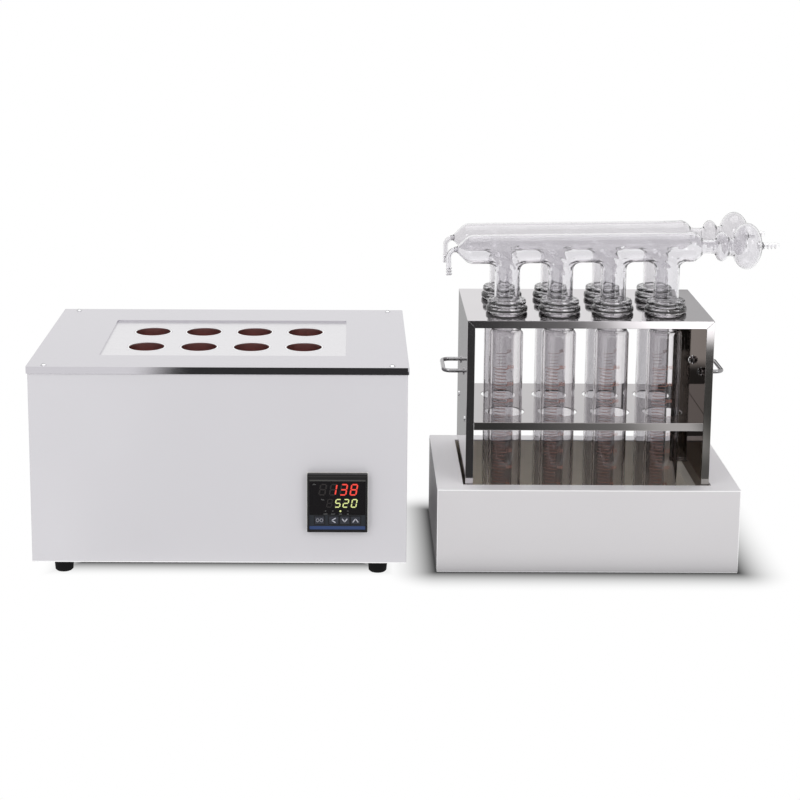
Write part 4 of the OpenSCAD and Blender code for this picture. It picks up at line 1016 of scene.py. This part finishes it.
def manifold_shell():
    grid = dict(step=1.4, low=(-166, -32, mouth - 4), high=(216, 32, 36))
    out_points, out_faces = surface_net(0.0, **grid)
    in_points, in_faces = surface_net(glass_wall, **grid)
    mouth_r, chamfer = drop_r - glass_wall, 0.3
    out_faces, out_rim = open_mouths(
        out_points, out_faces, lambda r, z: (r < mouth_r + 0.5) & (z < mouth + 1))
    in_faces, in_rim = open_mouths(in_points, in_faces, lambda r, z: z < mouth + 0.3)
    points = np.concatenate([out_points, in_points])
    in_rim = in_rim + len(out_points)
    triangles = []
    for middle in drop_columns:
        rings = []
        for rim in (out_rim, in_rim):
            ring = rim[np.hypot(points[rim, 0] - middle, points[rim, 1]) < 20]
            ring = ring[points[ring, 2] < mouth + 6]
            angle = np.arctan2(points[ring, 1], points[ring, 0] - middle)
            radius = mouth_r + (chamfer if rim is out_rim else 0.0)
            points[ring, 0] = middle + radius * np.cos(angle)
            points[ring, 1] = radius * np.sin(angle)
            points[ring, 2] = mouth + (0.0 if rim is out_rim else chamfer)
            rings.append(ring)
        triangles += stitch(*rings, points)
    faces = [tuple(map(int, f)) for f in out_faces]
    faces += [tuple(int(v) + len(out_points) for v in f[::-1]) for f in in_faces]
    faces += [tuple(map(int, f)) for f in triangles]
    return points, faces


shell_points, shell_faces = manifold_shell()
print("manifold shell", len(shell_points), "points", len(shell_faces), "faces")

# %% [markdown]
# ## Hook and barb
#
# At the left each manifold ends in a thin hook for a hose, and at the right, after the two bulbs,
# in a straight barb. Both have ribs that hold the hose. The hook is a ring swept along a bent line,
# and the barb is a turned outline.

# %% Hook and barb meshes
swept_hook, given = tree_with("hose_hook", Line="Object", Radius="Float", Bore="Float",
                              Material="Material")
line, skins = shape_of(swept_hook, given["Line"]), []
for label in ("Radius", "Bore"):
    ring = geo(swept_hook, "CurvePrimitiveCircle", Resolution=24, Radius=given[label])
    skins.append(geo(swept_hook, "CurveToMesh", Curve=line, Profile_Curve=ring, Fill_Caps=False))
inner = geo(swept_hook, "FlipFaces", Mesh=skins[1])
end_tree(swept_hook, joined(swept_hook, skins[0], inner), given["Material"])

hook_start, hook_bend, hook_r, bore_r = -159.6, 10.0, 3.2, 1.6
hook_leg = hook_start - hook_bend
hook_line = [(hook_start + 2.5, 0), (hook_start, 0)]
hook_line += arc((hook_start, -hook_bend), hook_bend, 90, 180, 18)[1:]
hook_line += [(hook_leg, -hook_bend - down) for down in (5.5, 11, 16.5, 22)]
hook_shape = outline("hook_line", [(x * MM, 0, z * MM) for x, z in hook_line], closed=False)
hook_mesh = run_tree("hook", swept_hook, line=hook_shape, radius=hook_r * MM, bore=bore_r * MM,
                     material=manifold_glass)
bpy.data.objects.remove(hook_shape)

barb_start, barb_end, barb_pitch = 208.0, 233.7, 4.5
barb_points = [(bore_r, barb_start), (4.2, barb_start), (3.4, barb_start + 4)]
barb_points += [(r, barb_start + z + i * barb_pitch) for i in range(4)
                for r, z in ((3.2, 6), (4.1, 7.2), (4.0, 8.0), (3.2, 8.3))]
barb_points += [(3.0, barb_end - 0.4), (2.6, barb_end), (1.9, barb_end), (bore_r, barb_end - 0.4)]
barb_mesh = turned_mesh("barb", barb_points, manifold_glass, 32, turn=(0, math.radians(90), 0))
rib_low, rib_pitch = -31.4, 3.6
rib_points = [(1.7, 0), (3.3, 0), (4.1, 1.3), (4.1, 1.7), (3.3, 2.2), (1.7, 2.2)]
rib_mesh = turned_mesh("ribs", rib_points, manifold_glass, 24, 3,
                       (hook_leg * MM, 0, rib_low * MM), (0, 0, rib_pitch * MM))
print("hook", len(hook_mesh.vertices), "barb", len(barb_mesh.vertices))

# %% Two manifolds
def manifold_mesh(name, y, tint):
    work = bmesh.new()
    work.from_mesh(mesh_of("shell", (shell_points * MM).tolist(), shell_faces))
    tilt = Matrix.Rotation(-math.atan(slope), 4, "Y")
    for extra in (hook_mesh, barb_mesh, rib_mesh):
        tilted = extra.copy()
        tilted.transform(tilt)
        work.from_mesh(tilted)
    bmesh.ops.transform(work, matrix=Matrix.Translation((tray_middle.x, y, pipe_axis_z * MM)),
                        verts=work.verts)
    for face in work.faces:
        face.smooth = True
        face.material_index = 0
    return finished(work, name, tint)


for row, tint in (("front", manifold_glass), ("rear", far_glass)):
    new_piece(row + "_manifold_glass", manifold_mesh(row + "_manifold_glass", rows[row], tint),
              row + "_glass", row + "_manifold", slot="clear_glass")

# %% [markdown]
# ## Controller face
#
# The controller's front is a dark smoked panel. Behind it glow a red row of digits and a smaller
# yellow-green one, and the unlit segments show as faint ghosts. Each digit is made of seven bars,
# as in the real display, and slants by ten degrees. Printed parts are thin plates on the face, laid
# out in millimetres from the bezel's left and top edge, as on a drawing of the face.

# %% Layout helpers for flat print
bezel_low, bezel_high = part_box("controller_bezel")
PROUD = 0.00001


def slab_mesh(name, slabs, material):
    """Each slab is a ring of points and the way to its other side."""
    work = bmesh.new()
    for ring, through in slabs:
        near = [work.verts.new(p) for p in ring]
        far = [work.verts.new(p + through) for p in ring]
        work.faces.new(near)
        work.faces.new(far[::-1])
        for i in range(len(ring)):
            j = (i + 1) % len(ring)
            work.faces.new((near[i], far[i], far[j], near[j]))
    bmesh.ops.recalc_face_normals(work, faces=work.faces)
    return finished(work, name, material)


def thin_plates(name, shapes, front, material, body, thick):
    """Each shape is a ring of points in mm from the bezel's left and top edge, clockwise."""
    through = Vector((0, thick * MM, 0))
    slabs = [([Vector((bezel_low.x + x * MM, front, bezel_high.z - y * MM)) - through
               for x, y in shape], through) for shape in shapes]
    return new_piece(name, slab_mesh(name, slabs, material), body)


def stroke(points, width):
    """Bars with pointed joints along a line of points."""
    shapes = []
    for (x0, y0), (x1, y1) in zip(points, points[1:]):
        length = math.hypot(x1 - x0, y1 - y0)
        ux, uy = (x1 - x0) / length, (y1 - y0) / length
        nx, ny, h = -uy * width / 2, ux * width / 2, width / 2
        shapes.append([(x0 - ux * h * 0.6, y0 - uy * h * 0.6), (x0 + nx, y0 + ny),
                       (x1 + nx, y1 + ny), (x1 + ux * h * 0.6, y1 + uy * h * 0.6),
                       (x1 - nx, y1 - ny), (x0 - nx, y0 - ny)])
    return shapes


def oval(x, y, a, b, steps=20):
    return [(x + a * math.cos(2 * math.pi * i / steps), y + b * math.sin(2 * math.pi * i / steps))
            for i in range(steps)]


def box_shape(x0, y0, x1, y1):
    return [(x0, y0), (x1, y0), (x1, y1), (x0, y1)]


print("face origin", tuple(bezel_low.xz), "height", round(bezel_high.z - bezel_low.z, 4))

# %% Seven-segment digits
SEGMENTS = {"a": ((0, 0), (1, 0)), "b": ((1, 0), (1, 1)), "c": ((1, 1), (1, 2)),
            "d": ((0, 2), (1, 2)), "e": ((0, 1), (0, 2)), "f": ((0, 0), (0, 1)),
            "g": ((0, 1), (1, 1))}
DIGITS = {"0": "abcdef", "1": "bc", "2": "abged", "3": "abgcd", "5": "afgcd", "8": "abcdefg"}


def digit(text, left, top, width, height, thick, lit=True):
    """The bars of one digit that are lit, or with lit=False those that aren't."""
    shapes, lean = [], math.tan(math.radians(10))
    for key, ends in SEGMENTS.items():
        if (key in DIGITS[text]) != lit:
            continue
        places = []
        for u, v in ends:
            y = top + thick / 2 + v * (height - thick) / 2
            x = left + thick / 2 + u * (width - thick) + lean * (top + height - y)
            places.append(Vector((x, y)))
        along = (places[1] - places[0]).normalized() * (0.44 * thick + 0.1)
        shapes += stroke([tuple(places[0] + along), tuple(places[1] - along)], thick)
    return shapes


def glowing(name, base, light, strength):
    material, tree, shader = new_finish(name, base, 0.3)
    flicker = grain(tree, 900, 2)
    tree.links.new(ramp(tree, flicker, 0.3, 0.7, strength * 0.85, strength * 1.1),
                   shader.inputs["Emission Strength"])
    shader.inputs["Emission Color"].default_value = colour(light)
    vary(tree, shader, flicker, base, 0.1)
    return material


red_light = glowing("red_light", (0.3, 0.03, 0.02), (1.0, 0.07, 0.05), 0.75)
green_light = glowing("green_light", (0.3, 0.32, 0.1), (0.75, 0.82, 0.36), 0.72)
ghost_segment = moulded("ghost_segment", (0.030, 0.026, 0.026), 0.3)
face_ridge = moulded("face_ridge", (0.07, 0.068, 0.064), 0.4)
blue_print = moulded("blue_print", (0.033, 0.062, 0.17), 0.35)
slate_print = moulded("slate_print", (0.020, 0.024, 0.031), 0.4)
pale_print = moulded("pale_print", (0.42, 0.42, 0.47), 0.5)
dim_print = moulded("dim_print", (0.12, 0.12, 0.12), 0.5)

window_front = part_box("display_window")[0].y - PROUD
red_cells = [(13.0, None), (25.4, "1"), (37.9, "3"), (50.0, "8")]
green_cells = [(22.3, None), (32.2, "5"), (41.7, "2"), (51.6, "0")]
red_on, green_on, ghosts = [], [], []
for cells, size, lit_bars in ((red_cells, (12.0, 8.6, 14.5, 1.7), red_on),
                              (green_cells, (30.7, 6.9, 10.8, 1.3), green_on)):
    for left, text in cells:
        if text:
            lit_bars += digit(text, left, *size)
        ghosts += digit(text or "8", left, *size, lit=text is None)
small_marks = [box_shape(x - 0.9, 45.4, x + 0.9, 46.1) for x in (21.9, 30.6, 48.5)]
small_marks += [box_shape(x - w, 49.1, x + w, 49.9) for x, w in
                ((21.9, 2.4), (30.9, 2.4), (39.6, 1.8), (48.5, 1.1))]
small_marks += stroke([(6.6, 13.6), (8.2, 12.0), (8.9, 13.2), (10.2, 12.6)], 0.6)
small_marks += stroke([(17.0, 31.0), (18.2, 32.4), (19.0, 31.6), (20.2, 32.4)], 0.7)
for name, shapes, material, thick in (
        ("red_digits", red_on, red_light, 0.05), ("green_digits", green_on, green_light, 0.05),
        ("ghost_segments", ghosts, ghost_segment, 0.03),
        ("lit_dot", [oval(39.6, 45.8, 1.15, 1.15)], green_light, 0.05),
        ("small_marks", small_marks, dim_print, 0.03)):
    thin_plates(name, shapes, window_front, material, "base", thick)

# %% Ridges, strips and key signs
panel_front, bezel_front = bezel_low.y + 0.0008 - PROUD, bezel_low.y - PROUD
strip_left, strip_right, strip_top, strip_bottom, key_gap = 2.4, 69.6, 51.0, 63.9, 0.4
key_boxes = [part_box(key) for key in key_names]
strip_shapes, done = [], strip_left
for low, high in key_boxes:
    x0, x1 = (low.x - bezel_low.x) / MM - key_gap, (high.x - bezel_low.x) / MM + key_gap
    y0, y1 = (bezel_high.z - high.z) / MM - key_gap, (bezel_high.z - low.z) / MM + key_gap
    strip_shapes += [box_shape(done, strip_top, x0, strip_bottom),
                     box_shape(x0, strip_top, x1, y0), box_shape(x0, y1, x1, strip_bottom)]
    done = x1
strip_shapes.append(box_shape(done, strip_top, strip_right, strip_bottom))
for name, shapes, front, material, thick in (
        ("face_ridges", [box_shape(2.4, 7.0, 69.6, 8.7)], panel_front, face_ridge, 0.3),
        ("bezel_line", [box_shape(1.0, 2.5, 71.0, 2.9)], bezel_front, face_ridge, 0.04),
        ("key_strip", strip_shapes, panel_front, slate_print, 0.04),
        ("blue_strip", [box_shape(2.7, 64.6, 69.3, 68.7)], panel_front, blue_print, 0.06)):
    thin_plates(name, shapes, front, material, "base", thick)


def hoop(x, y):
    around = oval(x, y, 1.7, 1.9, 18)
    return stroke(around + around[:1], 0.75)


signs = {
    "set": hoop(12.4, 57.1) + hoop(17.0, 57.1) + stroke([(13.6, 57.1), (15.8, 57.1)], 0.7),
    "shift": stroke([(34.0, 54.4), (29.4, 57.2), (33.6, 59.9)], 1.3),
    "down": stroke([(41.9, 55.4), (44.8, 59.2), (47.6, 55.4)], 1.3),
    "up": stroke([(54.6, 59.4), (57.7, 55.2), (60.8, 59.4)], 1.3),
}
for (label, shapes), (low, high) in zip(signs.items(), key_boxes):
    thin_plates(label + "_sign", shapes, low.y - PROUD, pale_print, label + "_key_cap", 0.04)

# %% [markdown]
# ## Folded corners of the rack
#
# The rack is folded from one sheet, so its front and rear flanges meet in a mitre at each upper
# corner. A fine slit stays open there: a narrow dark line, and beside it a painted highlight, a
# near-white strip where the corner catches light.

# %% Mitre lines
slit_dark = moulded("slit_dark", (0.03, 0.028, 0.027), 0.5)
slit_bright = polished("slit_bright", (0.95, 0.95, 0.96), 0.15, 0.05)
flange, inset, proud, plate = 0.0094, 0.0001, 0.00003, 0.00006


def mitre(name, shift, width, material):
    """One line from each upper corner down the fold; shift moves it along the flange."""
    slabs = []
    for side, corner in ((-1, rack_low.x), (1, rack_high.x)):
        for facing, y in ((-1, rack_low.y - proud), (1, rack_high.y + proud)):
            start = Vector((corner - side * (inset + shift), y, rack_high.z - inset))
            stop = Vector((corner - side * (flange + shift), y, rack_high.z - flange))
            across = Vector((-side * width / 2, 0, width / 2))
            ring = [start - across, start + across, stop + across, stop - across]
            ring[1].z = min(ring[1].z, rack_high.z)
            slabs.append((ring, Vector((0, -plate * facing, 0))))
    return new_piece(name, slab_mesh(name, slabs, material), "rack")


mitre("mitre_slits", 0.0, 0.00035, slit_dark)
# A painted highlight beside each slit.
mitre("mitre_edges", 0.0005, 0.0003, slit_bright)

# %% Measure and finish
low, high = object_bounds()
print("size", [round(v, 4) for v in high - low])
